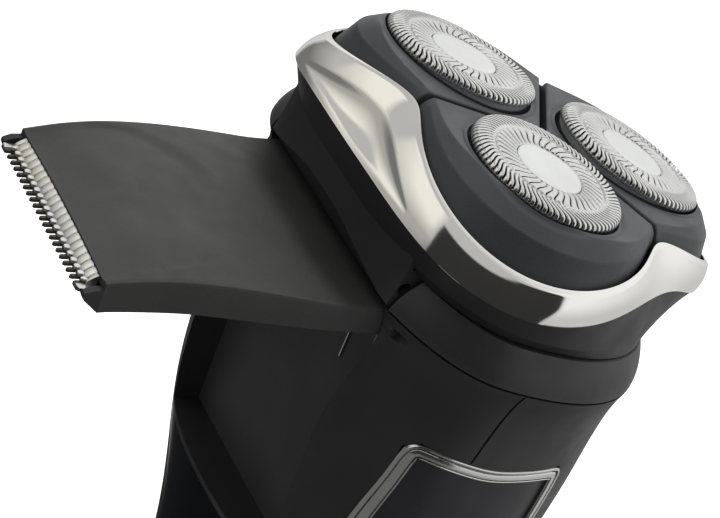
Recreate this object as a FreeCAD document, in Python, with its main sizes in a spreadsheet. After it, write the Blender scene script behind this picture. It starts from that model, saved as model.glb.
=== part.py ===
import FreeCAD, Part
import math
import os
import re
import Sketcher

# Rotary electric shaver with three shaving caps and a fold-out hair trimmer.
# Millimetres. Origin on the flat face the handle stands on, +Z up
# the handle, -Y the front (power button), +Y the rear (trimmer). The head
# is laid out about its own axis and moved to its place by HEAD.

DIMS = {
    # where the head axis and the top plane of the caps sit
    "head_y": 14.2, "head_z": 160.0,
    # shaving caps
    "cap_pitch_r": 15.19, "cap_tilt": 3.6, "cap_r": 11.0, "cap_skirt": 4.0, "cap_wall": 0.55,
    "cap_track_in": 5.4, "cap_track_mid": 8.0, "cap_dome": 0.35, "cap_flange_r": 11.6,
    "cap_flange_top": 3.4, "slot_wide": 0.28, "slot_count": 60, "slot_in_count": 36,
    "disc_r": 5.1, "disc_thick": 0.5, "disc_seat": 0.2,
    # rotating cutters and their drive
    "cutter_r": 9.8, "cutter_top": 0.72, "cutter_ring_top": 2.4, "cutter_ring_low": 3.0,
    "cutter_hub_r": 3.3, "cutter_hub_low": 9.0, "socket_r": 2.4, "socket_top": 5.5, "blade_count": 9,
    "spindle_r": 1.4, "spindle_tip_r": 1.1, "spindle_top": 8.0, "spindle_low": 22.6,
    "spindle_step": 12.0,
    "drive_pitch_r": 15.19, "gear_module": 0.58423, "sun_teeth": 28, "planet_teeth": 24,
    "gear_top": 19.7, "gear_thick": 1.8, "gear_hub_r": 2.6, "tooth_share": 0.43,
    # pods round the caps
    "pod_top": 1.0, "pod_low": 9.2, "pod_gap": 1.0, "pod_clear": 0.45, "pod_bore_r": 11.2,
    "pod_lip": 3.3, "pod_recess_r": 11.85, "rail_r": 1.0, "rail_at": 5.5, "rail_z": 9.2,
    # chrome bezel: lobed upper rim, wavy lower rim
    "rim_lobe_at": 14.5, "rim_lobe_r": 16.5, "rim_blend": 4.57, "rim_top_pod": 7.8, "rim_top_rise": 5.4,
    "rim_low_mean": 29.1, "rim_low_lobe": 3.5, "rim_low_rear": 2.4, "rim_low_z": 9.7,
    "rim_low_rise": 2.5, "rim_low_dip": 3.0, "bevel": 0.9, "bevel_drop": 0.45,
    # head frame and neck
    "waist_z": 16.3, "frame_floor": 13.6, "neck_top": 16.5, "seam_z": 21.7, "seam_gap": 0.15,
    "neck_wall": 2.2, "lug_half": 19.3, "notch_half": 20.0, "notch_y": 17.6,
    "hinge_y": 21.8, "hinge_z": 18.6, "ear_r": 2.1, "head_pin_r": 0.9,
    "plate_top": 17.0, "plate_low": 19.0, "ear_in": 10.0, "ear_out": 12.0,
    # handle shell
    "wall": 2.6, "skin": 1.3, "shell_low": 152.0, "base_low": 160.0,
    # trimmer: hinge axis, leaf and blades
    "trim_y": 20.7, "trim_z": 23.9, "trim_open": 13.5, "trim_stow": 102.0, "trim_pin_r": 0.8,
    "leaf_len": 38.3, "leaf_half": 18.9, "leaf_tip_half": 16.4, "knuckle_r": 2.0, "leaf_block": 2.2,
    "leaf_crown": 0.6, "comb_half": 15.1, "comb_len": 41.0, "comb_root": 32.6, "comb_low": 0.4,
    "blade_thick": 0.5, "tooth_pitch": 1.3, "tooth_gap": 0.75, "gap_count": 21, "tooth_len": 2.0,
    "blade_half": 13.6, "blade_len": 40.2, "well_half": 19.5, "well_tip_half": 17.4,
    "well_len": 41.4, "well_deep": 2.4, "well_wall": 1.8,
    # trim strip and side panels
    "strip_top": 65.2, "strip_low": 66.2, "side_in": 14.0, "side_out": 40.0,
    # motor, cells, board
    "motor_r": 10.0, "motor_top": 27.0, "motor_low": 49.0, "shaft_r": 1.0,
    "cell_r": 7.0, "cell_len": 48.0, "cell_x": 7.4, "cell_y": -12.6, "cell_low": 142.0,
    "board_y": -21.6, "board_thick": 1.2, "board_half": 11.0, "board_low": 118.0, "board_high": 50.0,
    # controls
    "button_r": 7.5, "button_z": 62.0, "button_clear": 0.2, "button_face": -30.1, "button_back": -26.0,
    "release_half": 8.0, "release_high": 2.6, "release_z": 31.0, "release_face": -27.0,
    "release_back": -22.6,
    "knob_r": 6.0, "knob_top": 12.1, "knob_low": 15.4,
}

doc = FreeCAD.newDocument("shaver")
sheet = doc.addObject("Spreadsheet::Sheet", "dims")
for row, (name, value) in enumerate(DIMS.items(), 1):
    sheet.set("A%d" % row, name)
    sheet.set("B%d" % row, str(value))
    sheet.setAlias("B%d" % row, name)
doc.recompute()

V = FreeCAD.Vector
X_AXIS, Y_AXIS, Z_AXIS = V(1, 0, 0), V(0, 1, 0), V(0, 0, 1)
LOBE_ANGLES = {"a": 30.0, "b": 150.0, "c": 270.0}
PARTS = []


def dim(name):
    return float(sheet.get(name))


HEAD = FreeCAD.Placement(V(0, dim("head_y"), dim("head_z")), FreeCAD.Rotation())


def bind(text):
    """The same formula with every driving dimension named through the sheet."""
    return re.sub(r"[a-z][a-z_0-9]*", lambda m: "dims." + m.group(0), text)


def value_of(text):
    """Number for a formula made of driving dimensions joined by + and -."""
    total = 0.0
    for sign, term in re.findall(r"([+-]?)\s*([a-z_0-9.]+)", text):
        number = dim(term) if term[0].isalpha() else float(term)
        total += -number if sign == "-" else number
    return total


def keep(obj, label, placement=None):
    obj.Label = label
    if placement is not None:
        obj.Placement = placement
    PARTS.append(obj)
    return obj


def free_part(label, shape, place=HEAD):
    """A sub-part whose form fits neither sketches nor primitives."""
    obj = doc.addObject("Part::Feature", label)
    start = shape.Placement
    obj.Shape = shape
    return keep(obj, label, place.multiply(start))


# ---------------------------------------------------------------- sketches
def closed_sketch(body, plane, points, name):
    """Closed polygon whose corners are formulas of the driving dimensions."""
    sketch = body.newObject("Sketcher::SketchObject", name)
    base = [f for f in body.Origin.OriginFeatures if f.Role == plane][0]
    sketch.AttachmentSupport = [(base, "")]
    sketch.MapMode = "FlatFace"
    corners = [V(value_of(a), value_of(b), 0) for a, b in points]
    count = len(corners)
    for i in range(count):
        sketch.addGeometry(Part.LineSegment(corners[i], corners[(i + 1) % count]), False)
    for i in range(count):
        sketch.addConstraint(Sketcher.Constraint("Coincident", i, 2, (i + 1) % count, 1))
    for i, (a, b) in enumerate(points):
        for kind, text, number, axis in (("DistanceX", a, corners[i].x, -2), ("DistanceY", b, corners[i].y, -1)):
            if abs(number) < 1e-9:
                sketch.addConstraint(Sketcher.Constraint("PointOnObject", i, 1, axis))
                continue
            index = sketch.addConstraint(Sketcher.Constraint(kind, i, 1, number))
            if re.search("[a-z]", text):
                sketch.setExpression("Constraints[%d]" % index, bind(text))
    return sketch


def turned(label, points, place=HEAD):
    """Body turned about its own Z axis from a half profile of (radius, height)."""
    body = doc.addObject("PartDesign::Body", label)
    sketch = closed_sketch(body, "XZ_Plane", points, label + "_profile")
    feature = body.newObject("PartDesign::Revolution", label + "_turn")
    feature.Profile = sketch
    feature.ReferenceAxis = (sketch, ["V_Axis"])
    feature.Angle = 360.0
    body.Tip = feature
    keep(body, label, place)
    return body


def padded(label, points, length, plane="XY_Plane", place=HEAD):
    """Body raised from a closed outline by a bound length."""
    body = doc.addObject("PartDesign::Body", label)
    sketch = closed_sketch(body, plane, points, label + "_outline")
    feature = body.newObject("PartDesign::Pad", label + "_pad")
    feature.Profile = sketch
    feature.setExpression("Length", bind(length))
    body.Tip = feature
    keep(body, label, place)
    return body


def pocketed(body, points, length, count, spread, plane="XY_Plane"):
    """Pocket cut up through the body, repeated round Z or along X."""
    label = body.Label
    sketch = closed_sketch(body, plane, points, label + "_cut%d" % len(body.Group))
    pocket = body.newObject("PartDesign::Pocket", label + "_pocket%d" % len(body.Group))
    pocket.Profile = sketch
    pocket.setExpression("Length", bind(length))
    pocket.Reversed = True
    body.Tip = pocket
    doc.recompute()
    kind = "PartDesign::PolarPattern" if spread is None else "PartDesign::LinearPattern"
    pattern = body.newObject(kind, label + "_row%d" % len(body.Group))
    pattern.Originals = [pocket]
    if spread is None:
        pattern.Axis = (body.Origin.OriginFeatures[2], [""])
        pattern.Angle = 360.0
    else:
        pattern.Direction = (body.Origin.OriginFeatures[0], [""])
        pattern.setExpression("Length", bind(spread))
    pattern.setExpression("Occurrences", bind(count))
    body.Tip = pattern
    return pattern


# ---------------------------------------------------------------- outlines
TABLE = [
    # depth below the head plane, half width, front, rear, centre of the widest line
    (21.7, 31.7, -25.4, 25.6, 8.6),
    (35.0, 31.0, -25.8, 24.0, 6.4),
    (47.0, 30.2, -27.4, 21.6, 4.4),
    (57.0, 29.0, -28.3, 18.8, 2.6),
    (64.0, 27.8, -29.0, 16.3, 1.0),
    (72.0, 26.0, -30.0, 12.6, -1.5),
    (82.0, 24.0, -31.0, 8.6, -5.0),
    (98.0, 22.6, -32.3, 4.6, -10.0),
    (115.0, 22.0, -31.8, 4.0, -12.2),
    (135.0, 21.6, -30.0, 4.6, -11.8),
    (152.0, 20.6, -27.8, 5.2, -11.0),
]
POWER = 2.3
OUTLINE_POINTS = 32
RIM_POINTS = 72


def signed_power(number, power):
    return math.copysign(abs(number) ** power, number)


def oval(half, front, rear, centre, depth, inset=0.0):
    """Rounded section of the handle: fuller than an ellipse, deeper at the front."""
    points = []
    for k in range(OUTLINE_POINTS):
        turn = 2 * math.pi * k / OUTLINE_POINTS
        reach = (rear - centre) if math.sin(turn) > 0 else (centre - front)
        x = (half - inset) * signed_power(math.cos(turn), 2 / POWER)
        y = centre + (reach - inset) * signed_power(math.sin(turn), 2 / POWER)
        points.append(V(x, y, -depth))
    return closed_curve(points)


def closed_curve(points):
    curve = Part.BSplineCurve()
    curve.interpolate(Points=points, PeriodicFlag=True)
    return Part.Wire([curve.toShape()])


def handle_solid(inset, over=0.0):
    """Handle form drawn in by inset, run past both ends by over."""
    rows = list(TABLE)
    top, low = rows[0], rows[-1]
    rows[0] = (top[0] + dim("seam_gap") - over,) + top[1:]
    rows[-1] = (low[0] + over,) + low[1:]
    return Part.makeLoft([oval(r[1], r[2], r[3], r[4], r[0], inset) for r in rows], True, False)


def prism(points, low, high):
    """Solid between x = low and x = high from an outline given as (y, z)."""
    wire = Part.makePolygon([V(low, y, z) for y, z in points + points[:1]])
    return Part.Face(wire).extrude(V(high - low, 0, 0))


def box(x0, x1, y0, y1, z0, z1):
    return Part.makeBox(x1 - x0, y1 - y0, z1 - z0, V(x0, y0, z0))


def rod(radius, start, axis, length):
    return Part.makeCylinder(radius, length, start, axis)


# ---------------------------------------------------------------- head rims
def lobe_wave(angle):
    """1 over the three gaps between the lobes, 0 in the middle of each lobe."""
    return (1 + math.cos(math.radians(3 * (angle - 90)))) / 2


def rim_top_r(angle):
    lobes = []
    for middle in LOBE_ANGLES.values():
        off = math.radians(angle - middle)
        room = dim("rim_lobe_r") ** 2 - (dim("rim_lobe_at") * math.sin(off)) ** 2
        lobes.append(dim("rim_lobe_at") * math.cos(off) + math.sqrt(room) if room > 0 else 0.0)
    second, first = sorted(lobes)[-2:]
    blend = dim("rim_blend")
    return first if second <= 0 else first + blend * math.log(1 + math.exp((second - first) / blend))


def rim_top_z(angle):
    return -dim("rim_top_pod") + dim("rim_top_rise") * lobe_wave(angle)


def rear_share(angle, sharpness):
    return ((1 + math.cos(math.radians(angle - 90))) / 2) ** sharpness


def rim_low_r(angle):
    wave = 2 * lobe_wave(angle) - 1
    return dim("rim_low_mean") - dim("rim_low_lobe") * wave + dim("rim_low_rear") * rear_share(angle, 3)


def rim_low_z(angle):
    wave = 2 * lobe_wave(angle) - 1
    return -dim("rim_low_z") + dim("rim_low_rise") * wave - dim("rim_low_dip") * rear_share(angle, 16)


def waist_r(angle, inset=0.0):
    """Distance from the head axis to the waist oval in one direction."""
    half, front, rear, centre = 29.0 - inset, -23.2 + inset, 24.5 - inset, 7.9
    low, high = 1.0, 60.0
    for _ in range(40):
        middle = (low + high) / 2
        x = middle * math.cos(math.radians(angle))
        y = middle * math.sin(math.radians(angle)) - centre
        reach = (rear - centre) if y > 0 else (centre - front)
        inside = abs(x / half) ** POWER + abs(y / reach) ** POWER < 1
        low, high = (middle, high) if inside else (low, middle)
    return low


def rim_loop(radius, height):
    """Closed curve round the head axis from radius and height by angle."""
    points = []
    for k in range(RIM_POINTS):
        angle = 360.0 * k / RIM_POINTS
        reach = radius(angle)
        turn = math.radians(angle)
        points.append(V(reach * math.cos(turn), reach * math.sin(turn), height(angle)))
    return closed_curve(points)


def ring_solid(loops):
    """Closed band whose section corners run along the loops in order."""
    faces = []
    for i in range(len(loops)):
        faces.append(Part.makeRuledSurface(loops[i].Edges[0], loops[(i + 1) % len(loops)].Edges[0]))
    shell = Part.Shell(faces)
    shell.sewShape()
    solid = Part.Solid(shell)
    if solid.Volume < 0:
        solid.reverse()
    return solid


def at_lobe(angle, radius):
    turn = math.radians(angle)
    return V(radius * math.cos(turn), radius * math.sin(turn), 0)


def cap_place(angle):
    """Cap frame: on the pitch circle, leaning outward by the cap tilt."""
    lean = FreeCAD.Rotation(at_lobe(angle + 90, 1.0), dim("cap_tilt"))
    return FreeCAD.Placement(at_lobe(angle, dim("cap_pitch_r")), lean)


# ---------------------------------------------------------------- chrome bezel
upper = rim_loop(rim_top_r, rim_top_z)
bevel = rim_loop(lambda a: rim_top_r(a) + dim("bevel"), lambda a: rim_top_z(a) - dim("bevel_drop"))
lower = rim_loop(rim_low_r, rim_low_z)
tuck = rim_loop(lambda a: rim_low_r(a) - 0.9, lambda a: rim_low_z(a) + 0.25)
inner = rim_loop(lambda a: rim_top_r(a) + 0.25, lambda a: rim_low_z(a) + 1.6)
free_part("chrome_bezel", ring_solid([upper, bevel, lower, tuck, inner]))

# ---------------------------------------------------------------- head frame
FLOOR = dim("frame_floor")
WAIST = dim("waist_z")
flare = rim_loop(lambda a: waist_r(a) + 0.35 * (rim_low_r(a) - waist_r(a)), lambda a: -WAIST + 1.3)
frame_rim = rim_loop(lambda a: rim_low_r(a) - 0.3, lambda a: rim_low_z(a) - 0.12)
frame_tuck = rim_loop(lambda a: rim_low_r(a) - 1.0, lambda a: rim_low_z(a) + 0.1)
frame_in = rim_loop(lambda a: rim_top_r(a) + 0.3, lambda a: rim_low_z(a) + 1.4)
frame_wall = rim_loop(lambda a: rim_top_r(a) + 0.2, lambda a: -FLOOR + 1.0)
frame_low = rim_loop(lambda a: waist_r(a, 4.0), lambda a: -WAIST)
waist = rim_loop(waist_r, lambda a: -WAIST)
frame = ring_solid([waist, flare, frame_rim, frame_tuck, frame_in, frame_wall, frame_low])
hinge_at = V(0, dim("hinge_y"), -dim("hinge_z"))
LUG = dim("lug_half")
neck_rows = [(dim("seam_z") - dim("seam_gap"), 0.0), (19.9, 0.3), (17.9, 1.2), (dim("neck_top"), 2.1)]
neck_form = Part.makeLoft([oval(*TABLE[0][1:], depth, inset) for depth, inset in neck_rows], True, False)
APRON = [(27.5, -12.4), (27.5, -17.9), (25.6, -18.2), (25.4, -18.6), (25.2, -19.0), (24.85, -19.6),
         (24.3, -20.3), (23.6, -21.0), (22.9, -21.35), (21.8, -21.55), (20.7, -21.35), (19.6, -20.6),
         (19.0, -19.6), (18.8, -18.6), (18.8, -15.7), (22.5, -15.7), (22.5, -12.4)]
apron_rows = [(21.6, 0.0), (18.0, -0.03), (15.0, -0.3), (12.3, -0.8)]
apron_form = Part.makeLoft([oval(*TABLE[0][1:], depth, inset) for depth, inset in apron_rows], True, False)
frame = frame.fuse(prism(APRON, -LUG, LUG).common(apron_form))
EAR_SLOT = 1.2
for side in (-1, 1):
    middle = side * (dim("ear_in") + dim("ear_out")) / 2
    round_slot = rod(dim("ear_r") + 0.2, V(middle - EAR_SLOT, hinge_at.y, hinge_at.z), X_AXIS, 2 * EAR_SLOT)
    arm_slot = box(middle - EAR_SLOT, middle + EAR_SLOT, 10.0, hinge_at.y, -24.0, -WAIST - 0.4)
    frame = frame.cut(round_slot.fuse(arm_slot))
frame = frame.cut(rod(dim("head_pin_r") + 0.05, V(-LUG - 1, hinge_at.y, hinge_at.z), X_AXIS, 2 * LUG + 2))
free_part("head_frame", frame)

# ---------------------------------------------------------------- pods
def pod_r(angle):
    return rim_top_r(angle) - dim("pod_clear")


pod_loops = [
    rim_loop(lambda a: pod_r(a) - 0.8, lambda a: -dim("pod_low")),
    rim_loop(lambda a: pod_r(a), lambda a: rim_top_z(a) - 0.5),
    rim_loop(lambda a: pod_r(a) - 1.5 + 0.8 * lobe_wave(a), lambda a: -dim("pod_top") + 0.42 * (rim_top_z(a) + 1)),
    rim_loop(lambda a: pod_r(a) - 4.4 + 3.0 * lobe_wave(a), lambda a: -dim("pod_top")),
]
pods = Part.makeLoft(pod_loops, True, True)
for angle in (90.0, 210.0, 330.0):
    blade = Part.makeBox(40, dim("pod_gap"), 30, V(0, -dim("pod_gap") / 2, -20))
    blade.rotate(V(0, 0, 0), Z_AXIS, angle)
    pods = pods.cut(blade)
for label, angle in LOBE_ANGLES.items():
    place = cap_place(angle)
    bore = rod(dim("pod_bore_r"), V(0, 0, -20), Z_AXIS, 30).fuse(
        rod(dim("pod_recess_r"), V(0, 0, -20), Z_AXIS, 20 - dim("pod_lip")))
    bore.Placement = place
    rail = at_lobe(angle, dim("rail_at")) + V(0, 0, -dim("rail_z"))
    along = at_lobe(angle + 90, 1.0)
    groove = rod(dim("rail_r") + 0.05, rail - along * 8, along, 16)
    pods = pods.cut(bore).cut(groove)
for solid in pods.Solids:
    middle = math.degrees(math.atan2(solid.CenterOfMass.y, solid.CenterOfMass.x)) % 360
    label = min(LOBE_ANGLES, key=lambda k: abs((LOBE_ANGLES[k] - middle + 180) % 360 - 180))
    if solid.Volume > 100:
        free_part("pod_" + label, solid)

# ---------------------------------------------------------------- caps and cutters
def slot_row(radius_in, radius_out, count, low, high, slant):
    """Ring of narrow slots, each leaning from the radial direction."""
    wide = dim("slot_wide")
    cuts = []
    for k in range(count):
        slot = Part.makeBox(radius_out - radius_in, wide, high - low, V(radius_in, -wide / 2, low))
        slot.rotate(V((radius_in + radius_out) / 2, 0, 0), Z_AXIS, slant)
        slot.rotate(V(0, 0, 0), Z_AXIS, 360.0 * k / count)
        cuts.append(slot)
    return cuts


CAP_PROFILE = [
    ("disc_r", "disc_seat-disc_thick"), ("disc_r", "disc_seat"), ("cap_track_in", "cap_dome"),
    ("cap_track_mid-0.25", "cap_dome"), ("cap_track_mid", "cap_dome-0.25"),
    ("cap_track_mid+0.25", "cap_dome"), ("cap_r-0.7", "cap_dome-0.05"), ("cap_r", "-0.5"),
    ("cap_r", "-cap_flange_top"), ("cap_flange_r", "-cap_flange_top"), ("cap_flange_r", "-cap_skirt"),
    ("cap_r-cap_wall", "-cap_skirt"), ("cap_r-cap_wall", "-cap_wall"), ("0", "-cap_wall"),
    ("0", "disc_seat-disc_thick"),
]
for label, angle in LOBE_ANGLES.items():
    place = HEAD.multiply(cap_place(angle))
    blank = turned("cap_blank_" + label, CAP_PROFILE, place)
    PARTS.remove(blank)
    doc.recompute()
    slots = slot_row(8.35, dim("cap_r") + 1, int(dim("slot_count")), -1.3, 1, 20)
    slots += slot_row(5.6, 7.65, int(dim("slot_in_count")), -1.0, 1, -25)
    inverse = place.inverse()
    bare = blank.Shape.copy()
    bare.Placement = inverse.multiply(bare.Placement)
    free_part("cap_" + label, bare.cut(Part.makeCompound(slots)), place)
    turned("cap_disc_" + label, [
        ("0", "disc_seat-disc_thick"), ("disc_r", "disc_seat-disc_thick"), ("disc_r", "disc_seat-0.1"),
        ("disc_r-0.4", "disc_seat+0.15"), ("0", "disc_seat+0.25")], place)
    ring = turned("cutter_" + label, [
        ("socket_r", "-cutter_hub_low"), ("cutter_hub_r", "-cutter_hub_low"),
        ("cutter_hub_r", "-cutter_ring_low"), ("cutter_r", "-cutter_ring_low"),
        ("cutter_r", "-cutter_top"), ("5.2", "-cutter_top"), ("5.2", "-cutter_ring_top"),
        ("0", "-cutter_ring_top"), ("0", "-socket_top"), ("socket_r", "-socket_top")], place)
    doc.recompute()
    cut = pocketed(ring, [("4.9", "-cutter_ring_top"), ("12", "-cutter_ring_top"), ("12", "0"), ("4.9", "0")],
                   "3.0", "blade_count", None, "XZ_Plane")
    cut.Originals[0].Reversed = True

# ---------------------------------------------------------------- retaining frame, knob, rails
plate = rod(23.4, V(0, 0, -12.0), Z_AXIS, 1.2)
for angle in LOBE_ANGLES.values():
    plate = plate.cut(rod(7.2, at_lobe(angle, dim("cap_pitch_r")) + V(0, 0, -13), Z_AXIS, 3))
for angle in (90.0, 210.0, 330.0):
    plate = plate.cut(rod(8.6, at_lobe(angle, 25.5) + V(0, 0, -13), Z_AXIS, 3))
plate = plate.fuse(rod(3.6, V(0, 0, -10.8), Z_AXIS, 0.6))
for angle in LOBE_ANGLES.values():
    along = at_lobe(angle + 90, 1.0)
    rail = at_lobe(angle, dim("rail_at")) + V(0, 0, -dim("rail_z"))
    plate = plate.fuse(rod(dim("rail_r"), rail - along * 3.4, along, 6.8))
    foot = Part.makeBox(1.4, 6.0, 1.4, V(dim("rail_at") - 0.7, -3.0, -11.0))
    foot.rotate(V(0, 0, 0), Z_AXIS, angle)
    plate = plate.fuse(foot)
plate = plate.cut(rod(1.55, V(0, 0, -13), Z_AXIS, 4))
free_part("cutter_retainer", plate)
turned("lock_knob", [
    ("0", "-knob_low"), ("knob_r-0.8", "-knob_low"), ("knob_r", "-knob_low+0.8"), ("knob_r", "-knob_top"),
    ("1.5", "-knob_top"), ("1.5", "-knob_top+1.2"), ("0", "-knob_top+1.2")])

# ---------------------------------------------------------------- neck collar and gear plate
neck_inside = Part.makeLoft([oval(*TABLE[0][1:], depth, dim("neck_wall") + inset)
                             for depth, inset in ((24.0, 0.0), (19.9, 0.3), (17.9, 1.0), (14.0, 1.9))], True, False)
collar = neck_form.cut(neck_inside)
collar = collar.cut(box(-dim("notch_half"), dim("notch_half"), dim("notch_y"), 40.0, -30.0, 0.0))
free_part("neck_collar", collar)
gear_plate = neck_inside.common(box(-40, 40, -40, dim("notch_y"), -dim("plate_low"), -dim("plate_top")))
shrink = Part.makeLoft([oval(*TABLE[0][1:], depth, dim("neck_wall") + 1.15) for depth in (24.0, 14.0)], True, True)
gear_plate = gear_plate.common(shrink)
for side in (-1, 1):
    x0 = side * dim("ear_in") if side > 0 else -dim("ear_out")
    ear = rod(dim("ear_r"), V(x0, hinge_at.y, hinge_at.z), X_AXIS, dim("ear_out") - dim("ear_in"))
    ear = ear.fuse(box(x0, x0 + 2.0, dim("notch_y") - 1.0, hinge_at.y, -dim("plate_low"), -dim("plate_top")))
    gear_plate = gear_plate.fuse(ear)
gear_plate = gear_plate.cut(rod(dim("head_pin_r"), V(-30, hinge_at.y, hinge_at.z), X_AXIS, 60))
SCREWS = [(-24.2, 8.0), (24.2, 8.0), (-13.5, -12.0), (13.5, -12.0)]
SCREW_R = 1.0
for angle in LOBE_ANGLES.values():
    foot = at_lobe(angle, dim("drive_pitch_r"))
    gear_plate = gear_plate.fuse(rod(2.9, foot + V(0, 0, -dim("plate_top")), Z_AXIS, 1.2))
    gear_plate = gear_plate.cut(rod(dim("spindle_r") + 0.06, foot + V(0, 0, -25), Z_AXIS, 20))
gear_plate = gear_plate.cut(rod(1.6, V(0, 0, -25), Z_AXIS, 6.8))
for x, y in SCREWS:
    gear_plate = gear_plate.cut(rod(SCREW_R, V(x, y, -25), Z_AXIS, 20))
free_part("gear_plate", gear_plate)
screws = []
for x, y in SCREWS:
    screw = rod(SCREW_R, V(x, y, -24.6), Z_AXIS, 7.6).fuse(rod(1.8, V(x, y, -dim("plate_top")), Z_AXIS, 0.5))
    screws.append(screw.cut(box(x - 1.4, x + 1.4, y - 0.2, y + 0.2, -16.7, -16)))
free_part("plate_screws", Part.makeCompound(screws))
pin_len = 2 * dim("ear_out") + 6
free_part("head_hinge_pin", rod(dim("head_pin_r"), V(-pin_len / 2, hinge_at.y, hinge_at.z), X_AXIS, pin_len))


# ---------------------------------------------------------------- gears, spindles, motor
def gear_outline(teeth, phase):
    """Tooth outline of a spur gear, thinned a little so meshing flanks stay clear."""
    pitch_r = teeth * dim("gear_module") / 2
    tip, root = pitch_r + 0.85 * dim("gear_module"), pitch_r - 1.15 * dim("gear_module")
    step = 2 * math.pi / teeth
    half = step * dim("tooth_share") / 2
    points = []
    for k in range(teeth):
        middle = math.radians(phase) + k * step
        for radius, off in ((root, -1.35 * half), (pitch_r, -half), (tip, -0.5 * half),
                            (tip, 0.5 * half), (pitch_r, half), (root, 1.35 * half)):
            points.append(V(radius * math.cos(middle + off), radius * math.sin(middle + off), 0))
    return points


SPRING_STEPS = 16


def coil_spring(radius, pitch, turns, wire):
    """Coil of round wire standing on the origin, wound about Z."""
    points = []
    for k in range(int(turns * SPRING_STEPS) + 1):
        turn = 2 * math.pi * k / SPRING_STEPS
        points.append(V(radius * math.cos(turn), radius * math.sin(turn), pitch * k / SPRING_STEPS))
    curve = Part.BSplineCurve()
    curve.interpolate(Points=points)
    section = Part.Wire([Part.Circle(points[0], curve.tangent(0)[0], wire).toShape()])
    return Part.Wire([curve.toShape()]).makePipeShell([section], True, True)


def gear_solid(centre, teeth, phase, bore, low, thick):
    points = gear_outline(teeth, phase)
    solid = Part.Face(Part.makePolygon(points + points[:1])).extrude(V(0, 0, thick))
    solid = solid.cut(rod(bore, V(0, 0, -1), Z_AXIS, thick + 2))
    solid.translate(centre + V(0, 0, low))
    return solid


GEAR_LOW = -dim("gear_top") - dim("gear_thick")
sun_teeth, planet_teeth = int(dim("sun_teeth")), int(dim("planet_teeth"))
free_part("sun_gear", gear_solid(V(0, 0, 0), sun_teeth, 0.0, dim("shaft_r"), GEAR_LOW, dim("gear_thick")))
for label, angle in LOBE_ANGLES.items():
    foot = at_lobe(angle, dim("drive_pitch_r"))
    sun_off = (-angle / (360.0 / sun_teeth)) % 1.0
    planet_off = -(0.5 + sun_off) % 1.0
    phase = angle + 180.0 + planet_off * 360.0 / planet_teeth
    gear = gear_solid(foot, planet_teeth, phase, dim("spindle_r"), GEAR_LOW, dim("gear_thick"))
    free_part("driven_gear_" + label, gear)
    place = HEAD.multiply(FreeCAD.Placement(foot, FreeCAD.Rotation()))
    turned("spindle_" + label, [
        ("0", "-spindle_low"), ("spindle_r", "-spindle_low"), ("spindle_r", "-spindle_step"),
        ("1.0", "-spindle_step+0.4"), ("1.0", "-spindle_top-0.9"), ("spindle_tip_r+0.1", "-spindle_top-0.7"),
        ("spindle_tip_r", "-spindle_top"), ("0", "-spindle_top")], place)
    spring = coil_spring(1.75, 0.9, 3.0, 0.16)
    spring.translate(foot + V(0, 0, -15.4))
    free_part("spindle_spring_" + label, spring)

MOTOR_TOP, MOTOR_LOW = -dim("motor_top"), -dim("motor_low")
turned("motor", [
    ("shaft_r+0.2", "-motor_low"), ("motor_r-1.5", "-motor_low"), ("motor_r", "-motor_low+1.5"),
    ("motor_r", "-motor_top-0.8"), ("motor_r-0.8", "-motor_top"), ("3.2", "-motor_top"),
    ("3.2", "-motor_top+1.2"), ("shaft_r+0.2", "-motor_top+1.2")])
turned("motor_shaft", [("0", "-motor_low-1.5"), ("shaft_r", "-motor_low-1.5"), ("shaft_r", "-19.4"), ("0", "-19.4")])
seal = oval(*TABLE[0][1:], dim("plate_top"), dim("neck_wall") + 1.4)
seal_in = oval(*TABLE[0][1:], dim("plate_top"), dim("neck_wall") + 2.6)
gasket = Part.Face(seal).extrude(V(0, 0, 0.45)).cut(Part.Face(seal_in).extrude(V(0, 0, 0.45)))
gasket = gasket.common(box(-40, 40, -40, dim("notch_y") - 0.2, -20, -10))
for x, y in SCREWS:
    gasket = gasket.cut(rod(2.0, V(x, y, -20), Z_AXIS, 10))
free_part("chamber_seal", gasket)


# ---------------------------------------------------------------- trimmer frames
def leaf_place(fall):
    """Leaf frame: X across, Y along the leaf, Z out of its outer face."""
    return FreeCAD.Placement(V(0, dim("trim_y"), -dim("trim_z")), FreeCAD.Rotation(X_AXIS, -fall))


OPEN, STOWED = leaf_place(dim("trim_open")), leaf_place(dim("trim_stow"))


def tapered(half_root, half_tip, y_root, y_tip, low, high):
    """Plate between two heights whose width narrows from root to tip."""
    points = [V(-half_root, y_root, low), V(half_root, y_root, low),
              V(half_tip, y_tip, low), V(-half_tip, y_tip, low)]
    return Part.Face(Part.makePolygon(points + points[:1])).extrude(V(0, 0, high - low))


WELL, WALL = dim("well_half"), dim("well_wall")
well = tapered(WELL, dim("well_tip_half"), -6.0, dim("well_len"), -dim("well_deep"), 30.0)
well = well.fuse(box(-WELL, WELL, -14.0, -6.0 + 0.01, -dim("well_deep"), 30.0))
tub = tapered(WELL + WALL, dim("well_tip_half") + WALL, -14.0, dim("well_len") + WALL,
              -dim("well_deep") - WALL, 30.0)
well.Placement = STOWED
tub.Placement = STOWED

# ---------------------------------------------------------------- handle shell
outer = handle_solid(0.0)
skin_in = handle_solid(dim("skin"), 2.0)
cavity = handle_solid(dim("wall"), 2.0)
SPLIT = [(6.4, 10.0), (6.2, -21.7), (6.5, -36.0), (2.0, -64.0), (-9.0, -98.0), (-14.2, -125.0), (-14.2, -170.0)]
front_half = prism(SPLIT + [(-80.0, -170.0), (-80.0, 10.0)], -60.0, 60.0)
shell = outer.cut(cavity)
skin = outer.cut(skin_in)

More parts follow.
